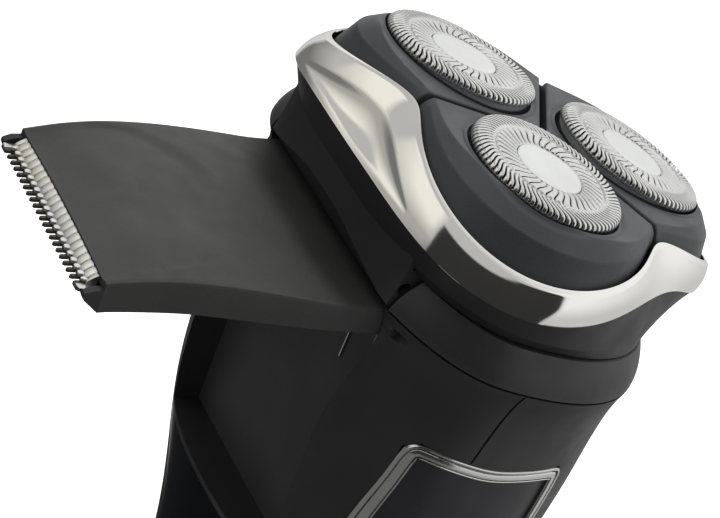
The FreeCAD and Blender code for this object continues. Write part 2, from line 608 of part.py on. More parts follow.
PANEL = [(13.8, -33.6), (15.3, -35.2), (14.4, -46.0), (11.6, -64.0), (1.0, -98.0), (-5.0, -113.0),
         (-9.0, -118.0), (-14.0, -119.5), (-18.5, -118.0), (-21.0, -112.0), (-20.5, -98.0),
         (-16.5, -64.0), (-12.6, -42.0), (-11.3, -34.4), (-10.2, -32.8), (-4.0, -33.2), (2.5, -33.9),
         (9.3, -33.6)]
FRAME_WIDE = 2.0


def inset_outline(points, amount):
    wire = Part.makePolygon([V(0, y, z) for y, z in points + points[:1]])
    drawn = wire.makeOffset2D(-amount, 2, False, False)
    return Part.Face(drawn)


side_window = None
for side, name in ((-1, "near"), (1, "far")):
    low, high = (-dim("side_out"), -dim("side_in")) if side < 0 else (dim("side_in"), dim("side_out"))
    whole = prism(PANEL, low, high)
    middle = inset_outline(PANEL, FRAME_WIDE)
    middle.translate(V(low, 0, 0))
    middle = middle.extrude(V(high - low, 0, 0))
    patch = skin.common(whole)
    free_part("side_frame_" + name, patch.cut(middle))
    free_part("side_panel_" + name, patch.common(middle).common(handle_solid(0.35)))
    side_window = whole if side_window is None else side_window.fuse(whole)

FACE_POINTS = [(-9.5, -41.0), (-8.0, -39.5), (8.0, -39.5), (9.5, -41.0), (8.0, -121.0), (6.5, -123.0),
               (-6.5, -123.0), (-8.0, -121.0)]
wire = Part.makePolygon([V(x, -60.0, z) for x, z in FACE_POINTS + FACE_POINTS[:1]])
face_window = Part.Face(wire).extrude(V(0, 48.0, 0))
BUTTON_HOLE = dim("button_r") + dim("button_clear")
button_hole = rod(BUTTON_HOLE, V(0, -60, -dim("button_z")), Y_AXIS, 40)
lens_hole = box(-3.0, 3.0, -60, -20, -101.0, -99.0)
face_patch = skin.common(face_window)
free_part("front_panel", face_patch.cut(button_hole).cut(lens_hole))
free_part("indicator_lens", face_patch.common(lens_hole).common(handle_solid(0.2)))
windows = skin.common(side_window).fuse(skin.common(face_window))
release_hole = box(-dim("release_half") - 0.15, dim("release_half") + 0.15, -60, -15,
                   -dim("release_z") - dim("release_high") - 0.15, -dim("release_z") + dim("release_high") + 0.15)
front = shell.common(front_half).cut(windows).cut(button_hole).cut(release_hole)
free_part("front_housing", front)

rear = shell.cut(front_half).cut(windows)
strip_slab = box(-60, 60, -60, 60, -dim("strip_low"), -dim("strip_top"))
upper_slab = box(-60, 60, -60, 60, -dim("strip_top"), 10)
tub_wall = tub.common(outer).cut(front_half).cut(windows)
above = rear.common(upper_slab).fuse(tub_wall.common(upper_slab)).cut(well)
above = above.cut(rod(dim("trim_pin_r"), V(-30, dim("trim_y"), -dim("trim_z")), X_AXIS, 60))
lever_slot = box(-1.8, 1.8, 4.0, 9.0, -dim("well_deep") - WALL - 1, -dim("well_deep") + 1)
lever_slot.Placement = STOWED
above = above.cut(lever_slot)
free_part("rear_housing", above)
strip = rear.common(strip_slab).common(skin)
free_part("rear_trim_strip", strip)
SWITCH_Z = 84.0
rail_slot = box(-2.0, 2.0, -10, 40, -SWITCH_Z - 7.0, -SWITCH_Z + 3.0)
cover = rear.cut(upper_slab).cut(strip)
free_part("rear_cover", cover.cut(rail_slot))
thumb = handle_solid(-1.3).common(box(-5.0, 5.0, -10, 40, -SWITCH_Z - 2.5, -SWITCH_Z + 4.5)).cut(handle_solid(-0.2))
thumb = thumb.common(box(-5.0, 5.0, -4, 40, -100, 0))
stem = handle_solid(-0.4).common(box(-1.85, 1.85, -4, 40, -SWITCH_Z - 2.4, -SWITCH_Z + 2.4)).cut(handle_solid(4.2))
free_part("trimmer_switch", thumb.fuse(stem))

low_rows = [(dim("shell_low"), 0.0), (155.5, 0.4), (158.3, 1.3), (159.5, 2.4), (dim("base_low"), 3.4)]
base = Part.makeLoft([oval(*TABLE[-1][1:], depth, inset) for depth, inset in low_rows], True, False)
SOCKET_Y = -18.6
socket_hole = box(-4.8, 4.8, SOCKET_Y - 2.9, SOCKET_Y + 2.9, -161, -150)
free_part("base_cap", base.cut(socket_hole))
insert = box(-4.8, 4.8, SOCKET_Y - 2.9, SOCKET_Y + 2.9, -159.4, -152.0)
insert = insert.cut(box(-3.8, 3.8, SOCKET_Y - 1.9, SOCKET_Y + 1.9, -160, -154.0))
pins = []
for x in (-1.8, 1.8):
    insert = insert.cut(rod(0.6, V(x, SOCKET_Y, -155), Z_AXIS, 5))
    pins.append(rod(0.6, V(x, SOCKET_Y, -158.4), Z_AXIS, 7.0))
free_part("charging_socket", insert)
free_part("socket_pins", Part.makeCompound(pins))

# ---------------------------------------------------------------- inside the handle
DECK_LOW, DECK_THICK = 25.0, 1.8
deck = Part.Face(oval(*TABLE[0][1:], DECK_LOW, dim("wall") + 4.5)).extrude(V(0, 0, DECK_THICK))
deck = deck.common(box(-40, 40, -21.6, 14.6, -30, -20))
for x, y in SCREWS:
    deck = deck.fuse(rod(1.9, V(x, y, -DECK_LOW), Z_AXIS, DECK_THICK))
for side in (-1, 1):
    deck = deck.fuse(box(side * 15 - 1.0, side * 15 + 1.0, -12.0, -3.0, -80.0, -25.0))
deck = deck.fuse(box(-16, 16, -12.0, -3.0, -53.5, -52.0))
deck = deck.cut(rod(3.4, V(0, 0, -30), Z_AXIS, 10))
for x, y in SCREWS:
    deck = deck.cut(rod(SCREW_R, V(x, y, -30), Z_AXIS, 10))
free_part("chassis", deck)
cells = []
for side in (-1, 1):
    cell = rod(dim("cell_r"), V(side * dim("cell_x"), dim("cell_y"), -dim("cell_low")), Z_AXIS, dim("cell_len"))
    top = V(side * dim("cell_x"), dim("cell_y"), -dim("cell_low") + dim("cell_len"))
    cells.append(cell.fuse(rod(2.2, top, Z_AXIS, 1.0)))
free_part("battery_cells", Part.makeCompound(cells))
BOARD = dim("board_y")
board = box(-dim("board_half"), dim("board_half"), BOARD, BOARD + dim("board_thick"), -dim("board_low"),
            -dim("board_high"))
PARTS_ON_BOARD = [(-6.0, -72.0, 4.0, 4.0, 1.6), (4.5, -76.0, 3.0, 6.0, 1.2), (-4.0, -86.0, 5.0, 3.0, 1.0),
                  (5.0, -92.0, 3.0, 3.0, 2.0), (-5.5, -108.0, 4.0, 6.0, 1.4)]
for x, z, wide, high, deep in PARTS_ON_BOARD:
    board = board.fuse(box(x - wide / 2, x + wide / 2, BOARD - deep, BOARD, z - high / 2, z + high / 2))
board = board.fuse(box(-1.2, 1.2, BOARD - 2.5, BOARD, -101.0, -99.2))
free_part("circuit_board", board)
tact = box(-3.0, 3.0, BOARD - 2.2, BOARD, -dim("button_z") - 3.0, -dim("button_z") + 3.0)
tact = tact.fuse(rod(1.6, V(0, BOARD - 3.0, -dim("button_z")), Y_AXIS, 1.0))
free_part("power_switch", tact)

# ---------------------------------------------------------------- controls
button = doc.addObject("Part::Cylinder", "button_core")
button.setExpression("Radius", "dims.button_r")
button.setExpression("Height", "dims.button_back - dims.button_face")
rounded = doc.addObject("Part::Fillet", "power_button")
doc.recompute()
rounded.Base = button
top_edge = [i + 1 for i, e in enumerate(button.Shape.Edges)
            if len(e.Vertexes) == 1 and e.BoundBox.ZMin > button.Height.Value - 0.01]
rounded.Edges = [(i, 0.8, 0.8) for i in top_edge]
turn = FreeCAD.Rotation(X_AXIS, 90)
keep(rounded, "power_button", HEAD.multiply(
    FreeCAD.Placement(V(0, dim("button_back"), -dim("button_z")), turn)))
release = doc.addObject("Part::Box", "release_core")
release.setExpression("Length", "2 * dims.release_half")
release.setExpression("Width", "dims.release_back - dims.release_face")
release.setExpression("Height", "2 * dims.release_high")
soft = doc.addObject("Part::Chamfer", "release_button")
doc.recompute()
soft.Base = release
front_edges = [i + 1 for i, e in enumerate(release.Shape.Edges) if e.BoundBox.YMax < 0.01]
soft.Edges = [(i, 0.5, 0.5) for i in front_edges]
keep(soft, "release_button", HEAD.multiply(FreeCAD.Placement(
    V(-dim("release_half"), dim("release_face"), -dim("release_z") - dim("release_high")), FreeCAD.Rotation())))

# ---------------------------------------------------------------- trimmer
LEAF_ROWS = [
    # distance along the leaf, half width, outer face at the edges, underside
    (0.0, 18.9, 1.5, -2.0),
    (10.0, 18.5, 2.4, -1.8),
    (19.0, 18.0, 3.3, -1.3),
    (27.0, 17.4, 3.6, -0.9),
    (38.3, 16.4, 2.5, -1.6),
]


def leaf_section(y, half, high, low):
    arc = Part.Arc(V(half, y, high), V(0, y, high + dim("leaf_crown")), V(-half, y, high)).toShape()
    sides = Part.makePolygon([V(-half, y, high), V(-half, y, low), V(half, y, low), V(half, y, high)])
    return Part.Wire(sides.Edges + [arc])


ROOT, TIP = dim("leaf_half"), dim("leaf_tip_half")
leaf = Part.makeLoft([leaf_section(*row) for row in LEAF_ROWS], True, False)
leaf = leaf.fuse(rod(dim("knuckle_r"), V(-ROOT, 0, 0), X_AXIS, 2 * ROOT))
TIP_END = dim("leaf_len") + dim("leaf_block")
LIP_TOP = dim("comb_low") - 0.03
LIP_ROOT, BLOCK_TOP = 37.0, 1.9
COMB_ROOM = dim("comb_half") + 0.2
LIP = [(LIP_ROOT, -1.4), (38.4, -1.4), (TIP_END, -0.2), (TIP_END, LIP_TOP), (LIP_ROOT, LIP_TOP)]
leaf = leaf.fuse(prism(LIP, -TIP, TIP))
for low, high in ((-TIP, -COMB_ROOM), (COMB_ROOM, TIP)):
    leaf = leaf.fuse(box(low, high, LIP_ROOT, TIP_END, LIP_TOP - 0.1, BLOCK_TOP))
SPRING_X = -15.5
leaf = leaf.cut(rod(1.62, V(SPRING_X - 1.8, 0, 0), X_AXIS, 3.6))
leaf = leaf.cut(rod(dim("trim_pin_r") + 0.05, V(-30, 0, 0), X_AXIS, 60))
slot_low, slot_high = LIP_TOP, dim("comb_low") + 2 * dim("blade_thick") + 0.15
blade_gap = box(-COMB_ROOM, COMB_ROOM, dim("comb_root") - 0.05, 50.0, slot_low, slot_high)
free_part("trimmer_leaf", leaf.cut(blade_gap), HEAD.multiply(OPEN))
comb_place = HEAD.multiply(OPEN).multiply(FreeCAD.Placement(V(0, 0, dim("comb_low")), FreeCAD.Rotation()))
comb = padded("trimmer_comb", [("-comb_half", "comb_root"), ("comb_half", "comb_root"),
                               ("comb_half", "comb_len"), ("-comb_half", "comb_len")],
              "blade_thick", "XY_Plane", comb_place)
doc.recompute()
first = -(dim("gap_count") - 1) / 2 * dim("tooth_pitch") - dim("tooth_gap") / 2
pocketed(comb, [(str(first), "comb_len-tooth_len"), (str(first + dim("tooth_gap")), "comb_len-tooth_len"),
                (str(first + dim("tooth_gap")), "comb_len+1"), (str(first), "comb_len+1")],
         "2 * blade_thick", "gap_count", "(gap_count - 1) * tooth_pitch")
blade_place = HEAD.multiply(OPEN).multiply(
    FreeCAD.Placement(V(0, 0, dim("comb_low") + dim("blade_thick") + 0.03), FreeCAD.Rotation()))
blade = padded("trimmer_blade", [("-blade_half", "comb_root+0.5"), ("blade_half", "comb_root+0.5"),
                                 ("blade_half", "blade_len"), ("-blade_half", "blade_len")],
               "blade_thick", "XY_Plane", blade_place)
doc.recompute()
pocketed(blade, [(str(first), "blade_len-tooth_len"), (str(first + dim("tooth_gap")), "blade_len-tooth_len"),
                 (str(first + dim("tooth_gap")), "blade_len+1"), (str(first), "blade_len+1")],
         "2 * blade_thick", "gap_count", "(gap_count - 1) * tooth_pitch")
pin_half = WELL + WALL - 0.4
free_part("trimmer_hinge_pin", rod(dim("trim_pin_r"), V(-pin_half, dim("trim_y"), -dim("trim_z")), X_AXIS,
                                   2 * pin_half))
spring = coil_spring(1.22, 0.55, 4.0, 0.16)
spring.rotate(V(0, 0, 0), Y_AXIS, 90)
spring.translate(V(SPRING_X - 1.1, 0, 0))
leg = rod(0.17, V(SPRING_X + 0.4, 2.0, -dim("well_deep") + 0.19), Y_AXIS, 5.0)
free_part("trimmer_spring", Part.makeCompound([spring, leg]), HEAD.multiply(STOWED))
lever = box(-1.4, 1.4, 4.6, 8.4, -dim("well_deep") - WALL - 1.6, -dim("well_deep") - 0.1)
lever = lever.fuse(box(-2.6, 2.6, 4.6, 8.4, -dim("well_deep") - WALL - 1.6, -dim("well_deep") - WALL - 0.2))
free_part("trimmer_lever", lever, HEAD.multiply(STOWED))

# ---------------------------------------------------------------- checks and files
doc.recompute()
for obj in doc.Objects:
    if "Invalid" in obj.State or "Error" in obj.State:
        raise RuntimeError("%s is %s" % (obj.Label, obj.State))
for obj in PARTS:
    if obj.Shape.isNull() or not obj.Shape.isValid():
        raise RuntimeError("%s has a bad shape" % obj.Label)
os.makedirs("parts", exist_ok=True)
for obj in PARTS:
    obj.Shape.exportStep("parts/%s.step" % obj.Label)
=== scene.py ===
import math

import bmesh
import bpy
import numpy as np
from mathutils import Matrix, Vector
from mathutils.bvhtree import BVHTree


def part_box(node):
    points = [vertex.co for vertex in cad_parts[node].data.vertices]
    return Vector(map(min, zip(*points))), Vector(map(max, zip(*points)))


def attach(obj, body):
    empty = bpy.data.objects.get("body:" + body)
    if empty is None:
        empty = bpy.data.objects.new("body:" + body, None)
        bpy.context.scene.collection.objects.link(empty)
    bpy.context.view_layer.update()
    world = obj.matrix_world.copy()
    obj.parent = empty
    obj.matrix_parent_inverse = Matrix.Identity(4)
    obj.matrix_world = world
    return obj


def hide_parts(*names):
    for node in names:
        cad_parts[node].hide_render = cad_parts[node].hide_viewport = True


# Looks for the rotary shaver with its hair trimmer folded out. Shapes are worked out in
# millimetres in the head frame (origin on the head axis, in the plane of the caps) or in the
# trimmer leaf's own frame (origin on its hinge, Y along the leaf), and placed in metres.

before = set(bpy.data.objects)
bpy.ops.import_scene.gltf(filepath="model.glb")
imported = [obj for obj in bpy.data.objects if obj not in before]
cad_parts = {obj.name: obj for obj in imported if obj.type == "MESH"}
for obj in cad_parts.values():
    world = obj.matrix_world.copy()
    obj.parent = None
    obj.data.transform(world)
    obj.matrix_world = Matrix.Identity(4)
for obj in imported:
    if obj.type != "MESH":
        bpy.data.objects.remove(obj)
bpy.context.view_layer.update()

MM = 0.001
TAU = 2 * math.pi
HEAD = Matrix.Translation(Vector((0.0, 14.2, 160.0)))
UP = (0.0, 0.0, 1.0)
DOWN = (0.0, 0.0, -1.0)
SIDES = (("near", -1), ("far", 1))
LOBES = {"a": 30.0, "b": 150.0, "c": 270.0}
REAR_GAP = 90.0
CAP_AT = 15.19
CAP_LEAN = 3.6
TRIM_AT = HEAD @ Matrix.Translation(Vector((0.0, 20.7, -23.9)))
TRIM_OPEN = TRIM_AT @ Matrix.Rotation(math.radians(-13.5), 4, "X")
TRIM_STOWED = TRIM_AT @ Matrix.Rotation(math.radians(-102.0), 4, "X")
scene = bpy.context.scene


# ---------------------------------------------------------------- materials
class Nodes:
    """Small helper that adds and links the nodes of one material."""

    def __init__(self, name):
        self.material = bpy.data.materials.new(name)
        self.material.use_nodes = True
        self.tree = self.material.node_tree
        self.shader = self.tree.nodes["Principled BSDF"]
        self.space = self.add("ShaderNodeTexCoord").outputs["Object"]

    def add(self, kind, **settings):
        node = self.tree.nodes.new(kind)
        for key, value in settings.items():
            if key in node.inputs:
                node.inputs[key].default_value = value
            else:
                setattr(node, key, value)
        return node

    def link(self, source, target):
        self.tree.links.new(source, target)

    def noise(self, scale, detail=3.0, stretch=(1.0, 1.0, 1.0)):
        spread = self.add("ShaderNodeMapping")
        spread.inputs["Scale"].default_value = stretch
        self.link(self.space, spread.inputs["Vector"])
        node = self.add("ShaderNodeTexNoise", Scale=scale, Detail=detail)
        self.link(spread.outputs["Vector"], node.inputs["Vector"])
        return node.outputs["Fac"]

    def remap(self, source, low, high, start=0.3, end=0.7):
        node = self.add("ShaderNodeMapRange")
        for key, value in (("From Min", start), ("From Max", end), ("To Min", low), ("To Max", high)):
            node.inputs[key].default_value = value
        self.link(source, node.inputs["Value"])
        return node.outputs["Result"]

    def mix(self, share, first, second):
        node = self.add("ShaderNodeMix", data_type="RGBA")
        self.link(share, node.inputs["Factor"])
        for socket, value in ((node.inputs[6], first), (node.inputs[7], second)):
            if isinstance(value, tuple):
                socket.default_value = value
            else:
                self.link(value, socket)
        return node.outputs[2]

    def bump(self, source, depth, under=None):
        node = self.add("ShaderNodeBump", Strength=1.0, Distance=depth * MM)
        self.link(source, node.inputs["Height"])
        if under is not None:
            self.link(under, node.inputs["Normal"])
        return node.outputs["Normal"]


def shade(colour, factor):
    return tuple(min(1.0, c * factor) for c in colour[:3]) + (1.0,)


PATCH_SCALE, PATCH_FINER = 90.0, 2.7
SPECK_PALER, WEAR_PALER = 1.6, 3.0
SPECK_FROM, SPECK_TO = 0.35, 0.65
ROUGH_DOWN, ROUGH_UP, ROUGH_LEAST = 0.88, 1.12, 0.02
WEAR_FROM, WEAR_TO = 0.52, 0.62
COAT_ROUGH = 0.08


def finish(name, colour, rough, metal=0.0, grain=(3200.0, 0.02), mottle=0.15, streak=None, coat=0.0,
           wear=0.0, shine=0.5):
    """Moulded, brushed or polished surface.

    grain is (scale, depth in mm) of the fine bump; streak is (scale, stretch, depth, roughness
    change) of brushed lines; wear is how far rubbed edges go towards a paler colour.
    """
    made = Nodes(name)
    cloud = made.remap(made.noise(PATCH_SCALE, 4.0), 0.0, 1.0)
    base = made.mix(cloud, shade(colour, 1 - mottle), shade(colour, 1 + mottle))
    fine = made.noise(grain[0], 3.0)
    speck = made.remap(fine, 0.0, 1.0, SPECK_FROM, SPECK_TO)
    base = made.mix(made.remap(speck, 0.0, mottle), base, shade(colour, SPECK_PALER))
    normal = made.bump(fine, grain[1])
    if streak:
        lines = made.noise(streak[0], 2.0, streak[1])
        normal = made.bump(lines, streak[2], normal)
        rough_source = made.remap(lines, max(rough - streak[3], ROUGH_LEAST), rough + streak[3])
    else:
        uneven = made.noise(PATCH_SCALE * PATCH_FINER, 5.0)
        rough_source = made.remap(uneven, rough * ROUGH_DOWN, min(1.0, rough * ROUGH_UP))
    if wear:
        edge = made.add("ShaderNodeNewGeometry").outputs["Pointiness"]
        rubbed = made.remap(edge, 0.0, wear, WEAR_FROM, WEAR_TO)
        base = made.mix(rubbed, base, shade(colour, WEAR_PALER))
    made.link(base, made.shader.inputs["Base Color"])
    made.link(rough_source, made.shader.inputs["Roughness"])
    made.link(normal, made.shader.inputs["Normal"])
    made.shader.inputs["Metallic"].default_value = metal
    made.shader.inputs["Coat Weight"].default_value = coat
    made.shader.inputs["Coat Roughness"].default_value = COAT_ROUGH
    made.shader.inputs["Specular IOR Level"].default_value = shine
    return made.material


FINISH = {
    "black_matte": finish("soft_black", (0.0205, 0.0205, 0.0230, 1), 0.46, grain=(5200.0, 0.012), wear=0.2,
                          shine=0.4),
    "trimmer_grey": finish("leaf_grey", (0.036, 0.036, 0.036, 1), 0.55, grain=(4200.0, 0.02), wear=0.2,
                           shine=0.4),
    "pod_grey": finish("pod_grey", (0.034, 0.036, 0.040, 1), 0.46, grain=(4200.0, 0.016), wear=0.15,
                       shine=0.45),
    "chrome": finish("chrome", (0.91, 0.90, 0.87, 1), 0.07, 1.0, grain=(900.0, 0.002), mottle=0.03),
    "cap_steel": finish("cap_steel", (0.74, 0.74, 0.735, 1), 0.20, 1.0, grain=(6000.0, 0.006), mottle=0.06),
    "disc_steel": finish("disc_steel", (0.88, 0.89, 0.885, 1), 0.42, 1.0, grain=(3800.0, 0.03), mottle=0.04),
    "cutter_steel": finish("cutter_steel", (0.30, 0.30, 0.30, 1), 0.35, 1.0, grain=(3000.0, 0.01),
                           streak=(1500.0, (1, 8, 1), 0.006, 0.1)),
    "frame_silver": finish("frame_silver", (0.66, 0.66, 0.65, 1), 0.22, 1.0, grain=(2600.0, 0.0005),
                           mottle=0.05, streak=(700.0, (1, 10, 0.4), 0.0003, 0.05)),
    "comb_steel": finish("comb_steel", (1.0, 0.98, 0.90, 1), 0.34, 1.0, grain=(4000.0, 0.006),
                         streak=(900.0, (8, 1, 1), 0.004, 0.08)),
    # Darkened copy of the comb steel: painted shade for the shadow under the moving blade.
    "comb_painted_shade": finish("comb_painted_shade", (0.055, 0.052, 0.045, 1), 0.45, 0.4, grain=(4000.0, 0.006)),
    # Paler grey for the trimmer recess floor is painted light: it stands in for the light that reaches the
    # floor.
    "recess_painted_light": finish("recess_painted_light", (0.040, 0.042, 0.041, 1), 0.50, grain=(4200.0, 0.02), shine=0.4),
    "panel_dark": finish("panel_dark", (0.020, 0.019, 0.025, 1), 0.42, grain=(3600.0, 0.012), shine=0.4),
    "cover_gloss": finish("cover_gloss", (0.005, 0.010, 0.013, 1), 0.16, grain=(1400.0, 0.002), shine=0.12),
    "strip": finish("strip_silver", (0.30, 0.30, 0.30, 1), 0.30, 1.0, grain=(2600.0, 0.004)),
    "lens": finish("lens", (0.20, 0.26, 0.24, 1), 0.08, coat=1.0, grain=(1800.0, 0.002)),
    "button": finish("button", (0.10, 0.10, 0.105, 1), 0.34, grain=(2800.0, 0.008), wear=0.3),
    "inner_white": finish("inner_white", (0.62, 0.62, 0.59, 1), 0.5, grain=(1500.0, 0.02)),
    "gear_nylon": finish("gear_nylon", (0.72, 0.70, 0.62, 1), 0.42, grain=(1500.0, 0.01)),
    "motor_can": finish("motor_can", (0.55, 0.55, 0.56, 1), 0.3, 1.0, streak=(700.0, (1, 1, 12), 0.006, 0.1)),
    "cell_wrap": finish("cell_wrap", (0.05, 0.16, 0.10, 1), 0.3, coat=0.3, grain=(900.0, 0.01)),
    "board": finish("board", (0.02, 0.11, 0.05, 1), 0.4, coat=0.2, grain=(1200.0, 0.03), mottle=0.3),
    "brass": finish("brass", (0.80, 0.58, 0.28, 1), 0.25, 1.0, streak=(900.0, (1, 1, 9), 0.004, 0.08)),
    "seam_black": finish("seam_black", (0.0015, 0.0015, 0.0018, 1), 0.85, grain=(2400.0, 0.01), shine=0.1),
    "seal": finish("seal", (0.05, 0.05, 0.055, 1), 0.75, grain=(2400.0, 0.03)),
}

NODE_FINISH = {
    "black_matte": ("head_frame", "neck_collar", "front_housing", "rear_housing", "base_cap",
                    "cutter_retainer", "lock_knob", "trimmer_lever", "charging_socket", "gear_plate",
                    "power_switch", "trimmer_hinge_pin"),
    "panel_dark": ("side_panel_near", "side_panel_far"),
    "cover_gloss": ("rear_cover", "front_panel"),
    "strip": ("rear_trim_strip",),
    "lens": ("indicator_lens",),
    "button": ("power_button", "release_button", "trimmer_switch"),
    "cutter_steel": ("cutter_a", "cutter_b", "cutter_c", "plate_screws", "head_hinge_pin", "motor_shaft",
                     "trimmer_spring", "spindle_spring_a", "spindle_spring_b", "spindle_spring_c"),
    "inner_white": ("chassis",),
    "gear_nylon": ("driven_gear_a", "driven_gear_b", "driven_gear_c", "sun_gear", "spindle_a", "spindle_b",
                   "spindle_c"),
    "motor_can": ("motor",),
    "cell_wrap": ("battery_cells",),
    "board": ("circuit_board",),
    "brass": ("socket_pins",),
    "seal": ("chamber_seal",),
}
for key, names in NODE_FINISH.items():
    for name in names:
        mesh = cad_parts[name].data
        mesh.materials.clear()
        mesh.materials.append(FINISH[key])

# The floor of the trimmer's recess is painted a little paler than the shell round it: painted light for
# the light that falls into it. It lies along the stowed leaf, so its faces are found by their normal.
FLOOR_FACING = (TRIM_STOWED.to_3x3() @ Vector((0.0, 0.0, 1.0))).normalized()
FLOOR_AGREES = 0.9995
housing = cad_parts["rear_housing"].data
housing.materials.append(FINISH["recess_painted_light"])
for face in housing.polygons:
    if face.normal.dot(FLOOR_FACING) > FLOOR_AGREES:
        face.material_index = 1


# ---------------------------------------------------------------- mesh building
def to_object(name, points, faces, place):
    """Object in metres from points in millimetres, with outward normals."""
    mesh = bpy.data.meshes.new(name)
    mesh.from_pydata([tuple((place @ Vector(p)) * MM) for p in points], [], faces)
    made = bmesh.new()
    made.from_mesh(mesh)
    bmesh.ops.recalc_face_normals(made, faces=made.faces)
    made.to_mesh(mesh)
    made.free()
    obj = bpy.data.objects.new(name, mesh)
    scene.collection.objects.link(obj)
    return obj


def dress(obj, body, look, nodes=(), smooth=32.0):
    """Gives a finished mesh its shading, material, body and CAD nodes."""
    obj.data.shade_smooth()
    obj.data.set_sharp_from_angle(angle=math.radians(smooth))
    obj.data.materials.clear()
    obj.data.materials.append(FINISH[look])
    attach(obj, body)
    if nodes:
        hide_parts(*nodes)
    return obj


def grid_faces(rows, cols, close_rows=True, close_cols=True, keep=None):
    """Quads of a grid of points stored row by row, leaving out cells that keep() refuses."""
    faces = []
    for i in range(rows if close_rows else rows - 1):
        for j in range(cols if close_cols else cols - 1):
            if keep is None or keep(i, j):
                below, beside = (i + 1) % rows, (j + 1) % cols
                faces.append((i * cols + j, i * cols + beside, below * cols + beside, below * cols + j))
    return faces


def tube_faces(rows, cols):
    """Grid closed round each row, with its first and last rows capped."""
    last = (rows - 1) * cols
    return grid_faces(rows, cols, False, True) + [tuple(range(cols)), tuple(range(last, last + cols))]


def cut_out(obj, tools):
    """Takes each tool away from the object and deletes the tool."""
    for tool in tools:
        change = obj.modifiers.new("cut", "BOOLEAN")
        change.operation = "DIFFERENCE"
        change.solver = "EXACT"
        change.object = tool
        graph = bpy.context.evaluated_depsgraph_get()
        result = bpy.data.meshes.new_from_object(obj.evaluated_get(graph))
        obj.modifiers.clear()
        obj.data = result
        bpy.data.objects.remove(tool)


def block(place, x, y, z):
    """Box tool from three (low, high) pairs."""
    corners = [(x[i], y[j], z[k]) for i in (0, 1) for j in (0, 1) for k in (0, 1)]
    sides = [(0, 1, 3, 2), (4, 5, 7, 6), (0, 1, 5, 4), (2, 3, 7, 6), (0, 2, 6, 4), (1, 3, 7, 5)]
    return to_object("tool", corners, sides, place)


def cross_rod(place, radius, x, y=0.0, z=0.0, steps=40):
    """Round tool along X."""
    points = []
    for end in x:
        points += [(end, y + radius * math.cos(TAU * k / steps), z + radius * math.sin(TAU * k / steps))
                   for k in range(steps)]
    faces = [(k, (k + 1) % steps, steps + (k + 1) % steps, steps + k) for k in range(steps)]
    faces += [tuple(range(steps)), tuple(range(2 * steps - 1, steps - 1, -1))]
    return to_object("tool", points, faces, place)


def soft_min(first, second, blend):
    """Lower of two fields with a rounded meeting."""
    share = np.clip(0.5 + 0.5 * (second - first) / blend, 0, 1)
    return second * (1 - share) + first * share - blend * share * (1 - share)


def ease(value):
    value = np.clip(value, 0, 1)
    return value * value * (3 - 2 * value)


# ---------------------------------------------------------------- head rims
def lobe_wave(angle):
    """1 over the three gaps between the lobes, 0 in the middle of each lobe."""
    return (1 + np.cos(np.radians(3 * (angle - REAR_GAP)))) / 2


RIM_AT, RIM_R, RIM_BLEND = 14.5, 16.5, 4.57
RIM_TOP_Z, RIM_TOP_RISE = -7.8, 5.4
RIM_LOW_R, RIM_LOW_WAVE, RIM_LOW_REAR, REAR_WIDE = 29.1, 3.5, 2.4, 3
RIM_LOW_Z, RIM_LOW_RISE, RIM_LOW_DROP, REAR_NARROW = -9.7, 2.5, 3.0, 16


def rim_top_r(angle):
    angle = np.asarray(angle, float)
    reach = []
    for middle in LOBES.values():
        off = np.radians(angle - middle)
        room = RIM_R ** 2 - (RIM_AT * np.sin(off)) ** 2
        reach.append(np.where(room > 0, RIM_AT * np.cos(off) + np.sqrt(np.maximum(room, 0)), 0))
    second, first = np.sort(np.array(reach), 0)[1:]
    joined = first + RIM_BLEND * np.log(1 + np.exp((second - first) / RIM_BLEND))
    return np.where(second <= 0, first, joined)


def rim_top_z(angle):
    return RIM_TOP_Z + RIM_TOP_RISE * lobe_wave(angle)


def rear_share(angle, sharpness):
    return ((1 + np.cos(np.radians(angle - REAR_GAP))) / 2) ** sharpness


def rim_low_r(angle):
    wave = 2 * lobe_wave(angle) - 1
    return RIM_LOW_R - RIM_LOW_WAVE * wave + RIM_LOW_REAR * rear_share(angle, REAR_WIDE)


def rim_low_z(angle):
    wave = 2 * lobe_wave(angle) - 1
    return RIM_LOW_Z + RIM_LOW_RISE * wave - RIM_LOW_DROP * rear_share(angle, REAR_NARROW)


def polar(radius, angle, height):
    turn = np.radians(angle)
    return np.stack([radius * np.cos(turn), radius * np.sin(turn), height], -1)


# ---------------------------------------------------------------- chrome bezel
BEZEL_STEPS = 720
FACE_ROWS = 26
FACE_BULGE = 0.35
SCOOP_HALF, SCOOP_DEEP, SCOOP_SOFT = 33.0, 0.66, 1.15
SCOOP_UPPER, SCOOP_LOWER, SCOOP_THIN = (0.36, 0.42), (0.93, 0.11), 0.04
BEVEL = [(0.02, -0.10), (0.10, 0.0), (0.45, -0.16), (0.82, -0.38)]
FACE_START = (0.95, -0.52)
TUCK_IN, BEZEL_BACK = [(-0.08, -0.10), (-0.9, 0.2)], (0.25, 1.6)


